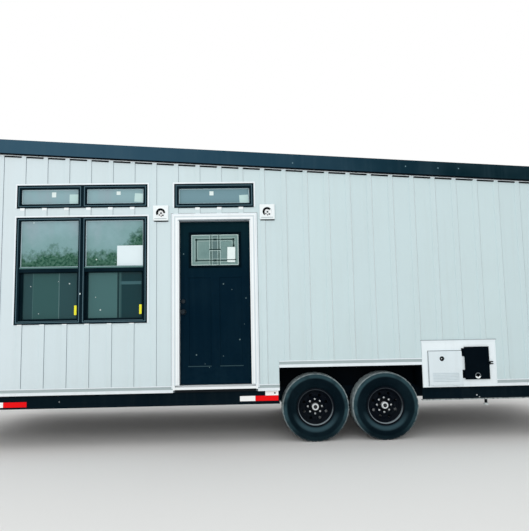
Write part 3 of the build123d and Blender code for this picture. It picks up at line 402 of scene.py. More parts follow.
lining = Finish("wall_lining")
x, y, _ = lining.axes()
grain = lining.noise(3.0, 6.0, lining.stretch((9.0, 9.0, 0.7)))
wood = lining.blend(grain, (196, 168, 128), (168, 136, 96))
seam = lining.math("LESS_THAN", lining.math("PINGPONG", x, sheet_width), seam_width)
wood = lining.blend(seam, wood, (70, 54, 38))
outside_y = lining.math("GREATER_THAN", lining.apart(y), -near - wrap_depth)
outside_x = lining.math("GREATER_THAN", lining.apart(x, house_middle), half_length - wrap_depth)
lining.settle(lining.blend(lining.math("MAXIMUM", outside_y, outside_x), wood, (84, 94, 98)), 0.75)
lining.relief(grain, 0.25, 0.001)
coat(lining.material, *[name for name in nodes if "wall" in name and name != "wall_trims"])


# Edge trims on the walls
# Folded white steel: starter strips along the foot, posts on the corners, a strip under the fascia, and
# channels round each opening that the cladding's cut edges slide into.
recess_proud = 0.009


def finish(name, paint, dirt, gloss, worn, metallic=0.0, shine=0.3, blotches=0.2, streaks=0.0, dust=0.0,
           dust_top=1.0, grain=300.0, depth=0.0003):
    """A painted, plated or moulded finish: gloss and worn are its roughness where clean and where dirty."""
    made = Finish(name)
    colour, grime = made.weather(paint, dirt, blotches, streaks, dust, dust_top)
    made.settle(colour, (grime, gloss, worn), shine, {"Metallic": metallic})
    made.relief(made.noise(grain, 2.0), 0.35, depth)
    return made.material


trim = Finish("trim_paint")
x, y, _ = trim.axes()
# The trims' recessed faces are painted grey: painted shade under their lips.
shaded_recess_side = trim.math("COMPARE", trim.apart(y), recess_proud - near, 0.001)
shaded_recess_end = trim.math("COMPARE", trim.apart(x, house_middle), half_length + recess_proud, 0.001)
paint, grime = trim.weather((229, 238, 243), (176, 178, 170), 0.10, 0.10, 0.30, 0.80)
trim.settle(trim.blend(trim.math("MAXIMUM", shaded_recess_side, shaded_recess_end), paint, (162, 176, 178)),
            (grime, 0.35, 0.6), 0.3)
edge_white = finish("edge_white", (240, 246, 248), (176, 178, 170), 0.35, 0.6, blotches=0.12, streaks=0.12,
                    dust=0.25, dust_top=0.8, grain=500.0, depth=0.0001)
# Near black for the strips under the frieze, which are painted shadow.
frieze_shadow_black = finish("frieze_shadow_paint", (6, 12, 16), (34, 40, 42), 0.9, 0.95, shine=0.01, grain=900.0,
                    depth=0.0006)
coat(trim.material, "wall_trims")


def bar(shape, low, high, ease=0.0):
    """Adds a square bar between two corners, with its edges eased."""
    low, high = Vector(low), Vector(high)
    place = Matrix.Translation((low + high) / 2) @ Matrix.Diagonal((*(high - low), 1))
    made = bmesh.ops.create_cube(shape, size=1, matrix=place)["verts"]
    if ease:
        soften(shape, {edge for vert in made for edge in vert.link_edges}, ease)
    return made


def surround(shape, box, width, back, face, ease=0.0015, foot=True):
    """Adds a mitred frame round a box in the wall, with three sides where it has no foot."""
    x0, x1, z0, z1 = box
    rim = bmesh.new()
    upright_grid(rim, x0 - width, x1 + width, back, z0 - width, z1 + width)
    bmesh.ops.inset_region(rim, faces=rim.faces[:], thickness=width, use_boundary=True,
                           use_even_offset=True)
    inner = [f for f in rim.faces if all(x0 - 1e-5 < v.co.x < x1 + 1e-5 and z0 - 1e-5 < v.co.z < z1 + 1e-5
                                         for v in f.verts)]
    bmesh.ops.delete(rim, geom=inner, context="FACES")
    if not foot:
        slice_sheet(rim, (0, 0, z0), (0, 0, -1), remove=True)
    faces = push(rim, rim.faces[:], back - face)
    if ease:
        soften(rim, {edge for f in faces for edge in f.edges if len(edge.link_faces) == 2
                     and edge.calc_face_angle(0) > 0.5}, ease)
    outward(rim)
    spare = bpy.data.meshes.new("spare")
    rim.to_mesh(spare)
    rim.free()
    shape.from_mesh(spare)
    bpy.data.meshes.remove(spare)


def fit_pair(name, shape, material):
    """Fits a shape, and its mirrored copy on the far side."""
    fit(name + "_far", mirrored_copy(shape), material)
    fit(name, shape, material)


channel_back, channel_face = near - 0.0005, near - 0.0135
casing_channel_foot = wall_foot + 0.045
channels = bmesh.new()
for opening in (twin, upper):
    surround(channels, opening, channel_width, channel_back, channel_face, foot=False)
fit("window_channels_far", mirrored_copy(channels), trim.material)
for opening in (transom, (casing[0], casing[1], casing_channel_foot, casing[3])):
    surround(channels, opening, channel_width, channel_back, channel_face, foot=False)
fit("window_channels", channels, trim.material)

caps = bmesh.new()
cap_face, cap_side, cap_top = near - 0.0148, 0.002, 0.002
for opening, cap_height in ((twin, 0.008), (upper, 0.026), (transom, 0.026)):
    groove = first_groove
    while groove < opening[1] + siding_pitch:
        if opening[0] < groove - batten_width and groove < opening[1]:
            bar(caps, (groove - batten_width + cap_side, cap_face, opening[2] - cap_height),
                (groove - cap_side, near - 0.001, opening[2] + cap_top), 0.0015)
        groove += siding_pitch
fit("batten_caps", caps, edge_white)

# Near-black strips under the frieze, over each pan between the battens, stand in for the shadow under the
# trim's lip: painted shadow.
frieze_shadow_height, frieze_shadow_lap = 0.0115, 0.006
frieze_shadows = bmesh.new()
groove = first_groove
while groove < side_end - siding_pitch:
    x0, x1 = groove + 0.001, groove + siding_pitch - batten_width + frieze_shadow_lap
    level = roof_line((x0 + x1) / 2) - frieze_height
    for vert in bar(frieze_shadows, (x0, near - 0.0150, level - frieze_shadow_height),
                    (x1, near - pan_depth + 0.001, level + 0.004)):
        vert.co.z += roof_line(vert.co.x) - roof_line((x0 + x1) / 2)
    groove += siding_pitch
fit_pair("frieze_shadow_strips", frieze_shadows, frieze_shadow_black)


# Roof and fascia
# Standing-seam steel sheets on a timber deck, with folded dark steel over the edge boards, hemmed along
# their feet. The fascia carries painted light: near-black painted shade at its foot, a painted reflection
# that fades along it, and painted glints on its screws.
roof_steel = finish("roof_steel", (50, 62, 70), (84, 92, 94), 0.38, 0.7, shine=0.12, blotches=0.35,
                    streaks=0.15, grain=260.0)
deck_timber = finish("deck_timber", (176, 142, 98), (120, 92, 60), 0.7, 0.85, blotches=0.8, streaks=0.1,
                     grain=120.0, depth=0.0008)
coat(roof_steel, "roof_sheet")
coat(deck_timber, "roof_deck")
foot_shade_top = 0.003
screw_glint_half = 0.006
screw_glint_spots = ((0.847, 3.244), (2.192, 3.190), (2.580, 3.165), (2.826, 3.1565))
sheen_start, sheen_middle, sheen_end = front + 1.2, front + 3.9, front + 6.2
fascia = Finish("fascia_steel")
x, _, z = fascia.axes()
# The fascia is painted lighter at the front and darker towards the rear: a painted reflection of the sky.
paint = fascia.blend(fascia.ramp(x, sheen_start, sheen_middle), (52, 82, 100), (32, 62, 79))
paint = fascia.blend(fascia.ramp(x, sheen_middle, sheen_end), paint, (6, 32, 40))
paint, grime = fascia.weather(paint, (74, 98, 110), 0.14, 0.10, 0.0, 1.0)
# A near-black band along the fascia's foot is painted shade under its hem.
over_foot_shade = fascia.math("MULTIPLY_ADD", x, roof_fall, z)
hem = fascia.math("LESS_THAN", over_foot_shade, front_head + roof_fall * front + foot_shade_top)
paint = fascia.blend(hem, paint, (1, 8, 14))
# The screw heads are small pale squares: painted glints on them.
fascia.settle(fascia.blend(fascia.marks(screw_glint_half, screw_glint_spots), paint, (116, 148, 158)),
              (grime, 0.34, 0.6), 0.02)
fascia.relief(fascia.noise(3.5, 1.0), 0.25, 0.004)
coat(fascia.material, "fascia_sides", "fascia_ends")


# Windows
# Black vinyl frames nailed through their flanges: two single-hung windows side by side, a low fixed pair
# over them, and a fixed light over the door. Each pane is held by a thin bead.
vinyl = finish("black_vinyl", (5, 22, 30), (34, 56, 66), 0.42, 0.62, shine=0.015, blotches=0.25,
               streaks=0.1, grain=350.0, depth=0.00015)
# The ridges and meeting rail caps are paler than the black frames: painted highlights on their raised
# edges.
ridge_highlight_vinyl, bead_vinyl, spacer_metal, rail_cap_highlight = [
    finish(name, paint, dirt, 0.4, 0.6, shine=shine, blotches=0.3, grain=350.0, depth=0.0001)
    for name, paint, dirt, shine in (("ridge_highlight_vinyl", (72, 98, 108), (96, 120, 128), 0.08),
                                     ("bead_vinyl", (12, 38, 44), (44, 68, 74), 0.06),
                                     ("spacer_metal", (186, 211, 218), (150, 176, 184), 0.15),
                                     ("meeting_rail_vinyl", (74, 110, 108), (96, 124, 122), 0.1))]
coat(vinyl, "window_frames", "far_window_frames")

# The glass's colour is a painted reflection of sky and trees: pale above, a broken green towards the
# middle, and dim in the lower sashes. The light over the door has a flat painted reflection of the sky.
twin_middle = (twin[0] + twin[1]) / 2
sash_middle = twin[2] + twin_height / 2
shelf_level, shelf_half = 1.862, 0.018
glass = Finish("window_glass")
x, _, z = glass.axes()
ripple = glass.math("MULTIPLY_ADD", glass.noise(6.0, 8.0, Roughness=0.68), 0.62, -0.31)
crown_reflection = glass.ramp(x, twin[1] - 0.42, twin[1] - 0.06, most=0.26)
height = glass.math("SUBTRACT", glass.math("ADD", z, ripple), crown_reflection)
far_right = glass.ramp(x, twin[1] - 0.34, twin[1] - 0.30)
colour = glass.blend(glass.ramp(x, twin_middle - 0.02, twin_middle), (38, 74, 78), (68, 108, 109))
colour = glass.blend(far_right, colour, (10, 54, 60))
# Each upright band has its middle, half its width and its colour.
for band, half, shade in ((twin[0] + 0.331, 0.145, (48, 88, 88)), (twin[0] + 0.184, 0.003, (70, 108, 108)),
                          (twin[0] + 0.484, 0.006, (80, 114, 114)), (twin[1] - 0.345, 0.012, (16, 50, 54))):
    colour = glass.blend(glass.math("COMPARE", x, band, half), colour, shade)
shelf = glass.times(glass.math("COMPARE", z, shelf_level, shelf_half), far_right)
colour = glass.blend(shelf, colour, (60, 100, 106))
leaf_reflection = glass.blend(glass.ramp(glass.noise(34.0, 4.0), 0.38, 0.62), (22, 74, 56), (72, 116, 98))
colour = glass.blend(glass.math("GREATER_THAN", z, sash_middle), colour, leaf_reflection)
for low, high, shade in ((0.13, 0.24, (126, 164, 166)), (0.26, 0.60, (144, 178, 185))):
    pale = glass.ramp(height, sash_middle + low, sash_middle + high)
    colour = glass.blend(pale, colour, shade)
haze_reflection = glass.ramp(glass.noise(1.4, 2.0, glass.stretch((5.0, 5.0, 0.9))), 0.45, 0.70, most=0.55)
colour = glass.blend(glass.times(haze_reflection, pale), colour, (152, 168, 178))
colour = glass.blend(glass.math("GREATER_THAN", x, transom[0]), colour, (118, 153, 163))
glass.settle(colour, 0.04, 0.12, {"Transmission Weight": 0.12, "IOR": 1.5})
coat(glass.material, "window_glass", "far_window_glass")


def lone_parts(name):
    """The boxes of a part's separate pieces, each as its lowest and highest corner."""
    copy = bmesh.new()
    copy.from_mesh(nodes[name].data)
    bmesh.ops.remove_doubles(copy, verts=copy.verts[:], dist=1e-6)
    waiting = set(copy.verts)
    boxes = []
    while waiting:
        found = set()
        reached = [waiting.pop()]
        while reached:
            vert = reached.pop()
            found.add(vert)
            others = {edge.other_vert(vert) for edge in vert.link_edges} & waiting
            waiting -= others
            reached += others
        boxes.append(tuple(Vector([pick(v.co[axis] for v in found) for axis in range(3)])
                           for pick in (min, max)))
    copy.free()
    return sorted(boxes, key=lambda box: (round(box[0].z, 2), box[0].x))


lower_left, lower_right, upper_left, upper_right, over_left, over_right, over_door = sorted(
    lone_parts("window_glass"), key=lambda box: (box[1].x > transom[0], round(box[0].z, 2), box[0].x))
pane_bite = 0.008
bead_width = 0.009
bury = 0.0002


def inner_box(low, high, inset):
    """A box in the wall, as far in from another's sides as told."""
    return (low.x + inset, high.x - inset, low.z + inset, high.z - inset)


def beaded(shape, low, high):
    """Adds the thin bead round a pane, just inside its frame."""
    surround(shape, inner_box(low, high, pane_bite + bead_width), bead_width, low.y - 0.0003, low.y - 0.004,
             0.001)


dark_beads = bmesh.new()
for pane in (lower_left, lower_right):
    beaded(dark_beads, *pane)
fit_pair("sash_beads", dark_beads, bead_vinyl)
spacers = bmesh.new()
for pane in (upper_left, upper_right, over_left, over_right):
    beaded(spacers, *pane)
fit("pane_spacers_far", mirrored_copy(spacers), spacer_metal)
beaded(spacers, *over_door)
fit("pane_spacers", spacers, spacer_metal)

frame_face = near - 0.014
ridge_inset, ridge_width, ridge_proud = 0.027, 0.009, 0.002
ledge_height, rail_top, side_bar, half_mullion = 0.036, 0.655, 0.048, 0.039


def ridged(shape, x0, x1, z0, z1):
    """Adds the raised bead that runs round a window's frame."""
    surround(shape, (x0 + ridge_inset, x1 - ridge_inset, z0 + ridge_inset, z1 - ridge_inset), ridge_width,
             frame_face + bury, frame_face - ridge_proud, ease=0.0008)


ridges = bmesh.new()
for z0, z1 in (twin[2:], upper[2:]):
    for x0, x1 in ((twin[0], twin_middle), (twin_middle, twin[1])):
        ridged(ridges, x0, x1, z0, z1)
caps = bmesh.new()
for x0, x1 in ((twin[0] + side_bar, twin_middle - half_mullion),
               (twin_middle + half_mullion, twin[1] - side_bar)):
    ledge, rail = twin[2] + ledge_height, twin[2] + rail_top
    bar(ridges, (x0, frame_face - 0.0018, ledge - 0.002), (x1, near - 0.004, ledge + 0.004), 0.0008)
    bar(caps, (x0, frame_face - 0.0015, rail - 0.015), (x1, near + 0.008, rail + 0.001), 0.001)
fit("frame_ridges_far", mirrored_copy(ridges), ridge_highlight_vinyl)
ridged(ridges, *transom)
fit("frame_ridges", ridges, ridge_highlight_vinyl)
fit_pair("meeting_rail_caps", caps, rail_cap_highlight)


# Window tags
# Small paper stickers left on the panes, yellow tags on the lower sashes, a blank white card behind the
# right upper sash, and specks of paint.
sticker_white = finish("sticker_white", (226, 240, 238), (190, 206, 206), 0.5, 0.6, blotches=0.4)
sticker_pale = finish("sticker_pale", (190, 218, 216), (160, 196, 196), 0.5, 0.6, blotches=0.6)
tag_yellow = finish("tag_yellow", (250, 246, 58), (214, 200, 40), 0.45, 0.6, blotches=0.2)
card_white = finish("card_white", (222, 236, 240), (200, 216, 222), 0.55, 0.6, blotches=0.3)
speck_paint = finish("paint_specks", (206, 220, 220), (170, 186, 186), 0.5, 0.6, blotches=0.3)


def label(shape, x0, x1, z0, z1, face, turn=0.0, thickness=0.0006):
    """Adds a flat label on a pane, turned a little about its middle."""
    middle = Vector(((x0 + x1) / 2, face - thickness / 2, (z0 + z1) / 2))
    place = Matrix.Translation(middle) @ Matrix.Rotation(radians(turn), 4, "Y")
    made = bmesh.ops.create_cube(shape, size=1,
                                 matrix=place @ Matrix.Diagonal((x1 - x0, thickness, z1 - z0, 1)))
    soften(shape, [edge for edge in {e for v in made["verts"] for e in v.link_edges}
                   if abs((edge.verts[0].co - edge.verts[1].co).y) > thickness * 0.9], 0.003)


def labels(name, material, spots):
    """Fits labels on panes, each with its sides as distances from the pane's lower left corner."""
    shape = bmesh.new()
    for (low, high), x0, x1, z0, z1, turn in spots:
        label(shape, low.x + x0, low.x + x1, low.z + z0, low.z + z1, low.y, turn)
    fit(name, shape, material)


labels("small_stickers", sticker_white, ((over_left, 0.352, 0.401, 0.094, 0.153, 0),
                                         (over_right, 0.349, 0.396, 0.114, 0.156, 0),
                                         (over_door, 0.367, 0.415, 0.109, 0.158, 0)))
labels("large_stickers", sticker_pale, ((over_left, 0.557, 0.664, 0.014, 0.126, 0),
                                        (over_right, 0.560, 0.660, 0.028, 0.130, 4),
                                        (over_door, 0.720, 0.826, 0.015, 0.111, -3)))
tag_start, tag_end, tag_foot, tag_top = 0.040, 0.012, 0.055, 0.165
tags = bmesh.new()
for low, high in (lower_left, lower_right):
    label(tags, high.x - tag_start, high.x - tag_end, low.z + tag_foot, low.z + tag_top, low.y - 0.010, 0,
          0.004)
fit("sash_tags", tags, tag_yellow)
card_start, card_end, card_foot, card_top = 0.314, 0.014, 0.020, 0.253
card = bmesh.new()
low, high = upper_right
label(card, high.x - card_start, high.x - card_end, low.z + card_foot, low.z + card_top, low.y + 0.0003, 0,
      0.0012)
fit("blank_card", card, card_white)


def peg(shape, start, end, radius, steps=24, end_radius=None, ease=0.0):
    """Adds a round bar between two points, or a taper where it ends at another radius."""
    start, end = Vector(start), Vector(end)
    run = end - start
    place = Matrix.Translation((start + end) / 2) @ run.to_track_quat("Z", "Y").to_matrix().to_4x4()
    made = bmesh.ops.create_cone(shape, cap_ends=True, segments=steps, radius1=radius,
                                 radius2=radius if end_radius is None else end_radius, depth=run.length,
                                 matrix=place)
    if ease:
        soften(shape, {edge for vert in made["verts"] for edge in vert.link_edges
                       if any(len(face.verts) > 4 for face in edge.link_faces)}, ease)


def specks(shape, face, spots):
    """Adds small splashes of paint to a face, each at its place and of its radius."""
    for x, z, radius in spots:
        peg(shape, (x, face + bury, z), (x, face - 0.0008, z), radius, 9, radius * 0.6)


splashes = bmesh.new()
for face, spots in ((lower_left[0].y, ((-2.217, 1.835, 0.006), (-1.772, 1.862, 0.008), (-1.90, 1.89, 0.004),
                                       (-2.12, 1.52, 0.005))),
                    (lower_right[0].y, ((-1.414, 1.552, 0.009), (-1.47, 1.70, 0.005))),
                    (upper_left[0].y, ((-2.184, 2.577, 0.009),)),
                    (upper_right[0].y, ((-1.456, 2.136, 0.009), (-1.24, 2.10, 0.004))),
                    (frame_face, ((-1.633, 1.739, 0.011),))):
    specks(splashes, face, spots)
fit("window_paint_specks", splashes, speck_paint)


# Entry door
# A smooth fibreglass door in very dark blue with two long sunk panels, a leaded glass light in a raised
# frame, and dark knobs and a deadbolt. It swings into the house on three butt hinges.
door_middle = (door_low.x + door_high.x) / 2
panel_foot, panel_middle, half_panel, panel_highlight_half = 0.207, 0.185, 0.135, 0.005
door_paint = Finish("door_paint")
x, _, z = door_paint.axes()
paint = door_paint.blend(door_paint.ramp(z, door_low.z + 1.2, door_high.z), (3, 25, 39), (10, 36, 43))
paint, grime = door_paint.weather(paint, (34, 60, 70), 0.08, 0.10, 0.20, 1.4)
# A paler line along the foot of each sunk panel is a painted highlight on its lower bevel.
ledge = door_paint.math("COMPARE", z, door_low.z + panel_foot, panel_highlight_half)
on_panel = door_paint.math("COMPARE", door_paint.apart(x, door_middle), panel_middle, half_panel)
paint = door_paint.blend(door_paint.times(ledge, 0.7, on_panel), paint, (58, 82, 88))
door_paint.settle(paint, (grime, 0.36, 0.6), 0.015)
door_paint.relief(door_paint.noise(260.0, 2.0), 0.35, 0.0002)
# The lite's frame is painted darker than the door: painted shade round the glass.
lite_frame_shade_paint = finish("lite_frame_shade_paint", (2, 16, 24), (24, 46, 54), 0.4, 0.6, shine=0.015,
                          blotches=0.1)
bronze = finish("dark_bronze", (18, 30, 38), (60, 70, 76), 0.3, 0.5, shine=0.2, blotches=0.3)
lead_dark = finish("lead_dark", (34, 56, 54), (70, 92, 88), 0.5, 0.7, shine=0.08, blotches=0.5)
lead_bright = finish("lead_bright", (176, 202, 198), (120, 148, 142), 0.35, 0.6, shine=0.25, blotches=0.5,
                     grain=90.0)
lite_rim = finish("lite_rim", (196, 219, 217), (150, 172, 170), 0.4, 0.6, blotches=0.3)
coat(door_paint.material, "entry_door")
coat(lite_frame_shade_paint, "door_lite_frame")
coat(bronze, "door_hardware", "door_hinge_leaves")
lite_low, lite_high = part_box("door_glass")
centre = (lite_low.x + lite_high.x) / 2
obscure = Finish("obscure_glass")
pebble = obscure.add("ShaderNodeTexVoronoi", {"Vector": obscure.place, "Scale": 70.0})[0]
paint = obscure.blend(obscure.noise(9.0, 3.0), (104, 140, 138), (132, 164, 160))
paint = obscure.blend(obscure.math("COMPARE", obscure.axes()[0], centre, 0.030), paint, (92, 122, 122))
obscure.settle(paint, 0.28, 0.2, {"Transmission Weight": 0.2})
obscure.relief(pebble, 0.4, 0.0015)
coat(obscure.material, "door_glass")

lite_face = lite_low.y - 0.0005
came_height = 0.005
border, border_half = 0.058, 0.017
left, right, foot, head = inner_box(lite_low, lite_high, border)


def came_strip(shape, x0, x1, z0, z1, width, height=came_height):
    """Adds one rounded strip of came on the glass, about the line between two points."""
    half = width / 2
    bar(shape, (x0 - half, lite_face - height, z0 - half), (x1 + half, lite_face, z1 + half), 0.0012)


def came_box(shape, grow, width):
    """Adds four strips of came as a box, outside or inside the border's line."""
    x0, x1, z0, z1 = left + grow, right - grow, foot + grow, head - grow
    for z in (z0, z1):
        came_strip(shape, x0, x1, z, z, width)
    for x in (x0, x1):
        came_strip(shape, x, x, z0, z1, width, came_height - 0.0004)


lead_strips, bright_strips = bmesh.new(), bmesh.new()
came_box(lead_strips, 0.0, 0.009)
for grow in (-border_half, border_half):
    came_box(bright_strips, grow, 0.0055)
column_foot, column_head, half_column = lite_low.z + 0.006, lite_high.z - 0.006, 0.062
for way in (-1, 1):
    for shape, aside, width, height in ((bright_strips, half_column, 0.007, came_height),
                                        (lead_strips, 0.047, 0.007, 0.0056),
                                        (bright_strips, 0.033, 0.006, came_height)):
        came_strip(shape, centre + way * aside, centre + way * aside, column_foot, column_head, width,
                   height)
for shape, level, width, height in ((lead_strips, lite_low.z + 0.187, 0.012, 0.0062),
                                    (bright_strips, lite_low.z + 0.174, 0.007, 0.0060)):
    came_strip(shape, centre - half_column, centre + half_column, level, level, width, height)
jewels = bmesh.new()
jewel = 0.012
jewel_spots = [(x, z - jewel, z + jewel) for x in (left, centre, right) for z in (foot, head)]
for x, z0, z1 in jewel_spots + [(right, head - 0.085, head - 0.063)]:
    bar(jewels, (x - jewel, lite_face - 0.007, z0), (x + jewel, lite_face, z1), 0.003)
fit("lead_came", lead_strips, lead_dark, "door")
fit("bright_came", bright_strips, lead_bright, "door")
fit("glass_jewels", jewels, lead_dark, "door")
rim = bmesh.new()
rim_width = 0.010
surround(rim, inner_box(lite_low, lite_high, rim_width), rim_width, lite_face + 0.0003, lite_face - 0.004,
         0.0012)
fit("lite_bead", rim, lite_rim, "door")
paper_start, paper_end, paper_foot, paper_top = 0.133, 0.040, 0.034, 0.214
paper = bmesh.new()
label(paper, lite_high.x - paper_start, lite_high.x - paper_end, lite_low.z + paper_foot,
      lite_low.z + paper_top, lite_face - 0.0078, 1.5)
fit("lite_label", paper, sticker_white, "door")
fold = bmesh.new()
bar(fold, (lite_high.x - 0.138, lite_face - 0.0098, lite_low.z + 0.058),
    (lite_high.x - 0.028, lite_face - 0.0084, lite_low.z + 0.068), 0.0004)
fit("lite_label_fold", fold, lead_dark, "door")
splashes = bmesh.new()
specks(splashes, door_low.y, ((-0.455, 2.192, 0.008), (0.011, 1.832, 0.008), (0.109, 1.765, 0.005),
                          (0.273, 1.662, 0.007), (-0.309, 1.014, 0.008), (0.195, 1.182, 0.008),
                          (0.003, 0.996, 0.005), (-0.21, 0.91, 0.004), (-0.16, 0.87, 0.005),
                          (0.25, 1.36, 0.004)))
door_speck_paint = finish("door_specks", (104, 128, 132), (80, 104, 110), 0.5, 0.6, shine=0.1, blotches=0.3)
fit("door_paint_specks", splashes, door_speck_paint, "door")


# Door frame and sill
# White capped jambs and casing, with a weatherstrip in the stop, and a white sill with a ribbed metal
# saddle.
casing_face = near - 0.018
frame_paint = Finish("casing_paint")
paint, _ = frame_paint.weather((240, 246, 249), (176, 178, 170), 0.08, 0.08, 0.25, 0.80)
# The sunk field between the casing's beads is painted grey, and faces that look down darker still: painted
# shade.
shaded_field = frame_paint.math("LESS_THAN", frame_paint.axes()[1], casing_face + 0.0005)
paint = frame_paint.blend(shaded_field, paint, (208, 219, 224))
soffit_shade = frame_paint.ramp(frame_paint.facing()[2], -0.6, -0.9)
frame_paint.settle(frame_paint.blend(soffit_shade, paint, (150, 157, 163)), 0.4, 0.3)
coat(frame_paint.material, "door_frame")
nose_foot = 0.033
sill = Finish("sill_paint")
paint, _ = sill.weather((240, 246, 248), (170, 172, 166), 0.15, 0.0, 0.20, 0.80)
# Below its nose the sill is painted near black: painted shade under the nose.
shade_under_nose = sill.math("LESS_THAN", sill.axes()[2], wall_foot + nose_foot)
sill.settle(sill.blend(shade_under_nose, paint, (6, 14, 20)), 0.45, 0.15)
coat(sill.material, "door_sill")
casing_foot = wall_foot + 0.084
opening = (casing[0] + casing_width, casing[1] - casing_width, casing_foot, casing[3] - casing_width)


def wider(box, more):
    """A box grown beside and over."""
    return (box[0] - more, box[1] + more, box[2], box[3] + more)


inner_bead = 0.0125
beads = bmesh.new()
for way, x in ((-1, opening[0]), (1, opening[1])):
    edges = sorted((x, x + way * inner_bead))
    bar(beads, (edges[0], casing_face - 0.003, casing_foot), (edges[1], casing_face + bury, opening[3]),
        0.001)
for more, width, proud in ((0.0165, 0.0235, 0.002), (0.057, 0.012, 0.003)):
    surround(beads, wider(opening, more), width, casing_face + bury, casing_face - proud, ease=0.001,
             foot=False)
fit("casing_beads", beads, edge_white)
horn_start, horn_end, horn_foot, horn_top = 0.4605, 0.484, 0.027, 0.0845
horns = bmesh.new()
for way in (-1, 1):
    edges = sorted((door_middle + way * horn_start, door_middle + way * horn_end))
    bar(horns, (edges[0], near - 0.030, wall_foot + horn_foot),
        (edges[1], channel_back, wall_foot + horn_top), 0.001)
fit("sill_horns", horns, edge_white)
# Grey lines are painted shadow: a strip under the casing's head where the jamb's soffit is in shade, a thin
# line outside the casing's channel, and a line round the heater door.
shadow_line_grey = finish("painted_shadow_grey", (116, 126, 132), (96, 102, 104), 0.6, 0.8, shine=0.1, blotches=0.3)
shadow_line_foot, shadow_line_width = wall_foot + 0.08, 0.0045
seam = bmesh.new()
bar(seam, (opening[0] - 0.004, casing_face - 0.0025, opening[3] + 0.001),
    (opening[1] + 0.004, casing_face + bury, opening[3] + 0.014), 0.001)
surround(seam, wider((*casing[:2], shadow_line_foot, casing[3]), channel_width), shadow_line_width,
         near - 0.001, near - 0.0075, ease=0.0, foot=False)
fit("casing_shadow_lines", seam, shadow_line_grey)
strip_rubber = finish("weatherstrip", (60, 64, 66), (110, 112, 110), 0.7, 0.9, grain=500.0)
saddle_metal = finish("saddle_metal", (176, 180, 180), (120, 116, 104), 0.35, 0.6, metallic=0.7,
                      blotches=0.5)
stop_face = door_low.y - 0.005
strip_width = 0.006
strips = bmesh.new()
surround(strips, (door_low.x + stop_lap, door_high.x - stop_lap, door_low.z, door_high.z - stop_lap),
         strip_width, stop_face + 0.003, stop_face - 0.0005, 0.001, foot=False)
fit("weatherstrip", strips, strip_rubber)
saddle = bmesh.new()
saddle_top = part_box("door_sill")[1].z
rib_start, rib_pitch, rib_width = 0.004, 0.008, 0.004
for step in range(5):
    y = door_low.y + rib_start + step * rib_pitch
    bar(saddle, (door_low.x + 0.003, y, saddle_top - 0.001),
        (door_high.x - 0.003, y + rib_width, saddle_top + 0.0008), 0.0004)
fit("sill_saddle", saddle, saddle_metal)


# Outside light blocks
# Moulded white mounting blocks over the door's corners. The lamps aren't fitted yet, so each round box
# shows its broken black gasket, whose arc over the top is also painted shadow inside the box, its white
# cover plate and the ends of its wires. A black bar under each block is painted shadow, and a grey ledge
# painted shade.
block_white = finish("block_white", (236, 244, 246), (190, 196, 194), 0.5, 0.65, blotches=0.15,
                     streaks=0.15)
flashing_paint = finish("flashing_paint", (158, 170, 176), (150, 150, 142), 0.4, 0.65, blotches=0.25,
                        streaks=0.2, dust=0.3, dust_top=0.8)
gasket_and_shadow_black = finish("gasket_and_shadow_black", (8, 12, 16), (40, 44, 46), 0.7, 0.9, shine=0.01, grain=600.0)
wire_grey = finish("wire_grey", (246, 250, 251), (160, 168, 170), 0.5, 0.7, blotches=0.3)
coat(block_white, "light_blocks")
box_radius = 0.054
shadow_arc_outline = [(0.055, 0.001), (0.031, 0.001), (0.031, 0.022), (0.055, 0.022)]
# What is left of a gasket lies in lumps, each with its place and half its width. A wire has its place, lean
# and length.
gasket_lumps = ((0.004, -0.002, 0.009), (0.026, -0.028, 0.008), (-0.014, -0.024, 0.006),
                (0.006, -0.038, 0.006))
wire_ends = ((-0.018, -0.012, 0.020), (0.004, 0.010, 0.022), (0.016, 0.016, 0.016))


def turned(shape, centre, outline, start=0.0, sweep=2 * pi, steps=40):
    """Turns an outline of radii and depths about a level axis. A part turn is closed at its ends."""
    part = sweep < 2 * pi
    verts = [shape.verts.new((centre[0] + r * sin(start), centre[1] + y, centre[2] + r * cos(start)))
             for r, y in outline]
    edges = [shape.edges.new((verts[i - 1], verts[i])) for i in range(0 if part else 1, len(verts))]
    bmesh.ops.spin(shape, geom=verts + edges, cent=centre, axis=(0, 1, 0), dvec=(0, 0, 0), angle=sweep,
                   steps=steps, use_merge=not part)
    if part:
        bmesh.ops.holes_fill(shape, edges=shape.edges[:], sides=4)
    outward(shape)


gaskets, wires, ledges = bmesh.new(), bmesh.new(), bmesh.new()
for (low, high), start, sweep in zip(lone_parts("light_blocks"), (-115, -140), (205, 190)):
    cx, cz, face = (low.x + high.x) / 2, (low.z + high.z) / 2, low.y
    # The gasket's arc over the top of the box is also painted shadow inside its rim.
    turned(gaskets, (cx, face, cz), shadow_arc_outline, radians(start), radians(sweep), 28)
    for x, z, half in gasket_lumps:
        bar(gaskets, (cx + x - half, face + 0.002, cz + z - half),
            (cx + x + half, face + 0.012, cz + z + half), 0.003)
    # A black bar under the block's foot is painted shadow.
    bar(gaskets, (low.x + 0.010, near - 0.016, low.z - 0.011),
        (high.x - 0.004, near - 0.001, low.z + 0.001), 0.001)
    peg(wires, (cx, face + 0.034, cz), (cx, face + 0.010, cz), box_radius - 0.001, 40)
    for x, lean, length in wire_ends:
        peg(wires, (cx + x, face + 0.012, cz - 0.008), (cx + x + lean, face + 0.022 - length, cz - 0.022),
            0.0045, 12, ease=0.001)
    # The grey ledge near the block's foot is painted shade under its lip.
    bar(ledges, (low.x + 0.018, face - 0.003, low.z + 0.018), (high.x - 0.018, face + 0.001, low.z + 0.024),
        0.0012)
fit("light_box_gaskets_and_shadows", gaskets, gasket_and_shadow_black)
fit("light_box_wires", wires, wire_grey)
fit("light_block_ledges", ledges, flashing_paint)


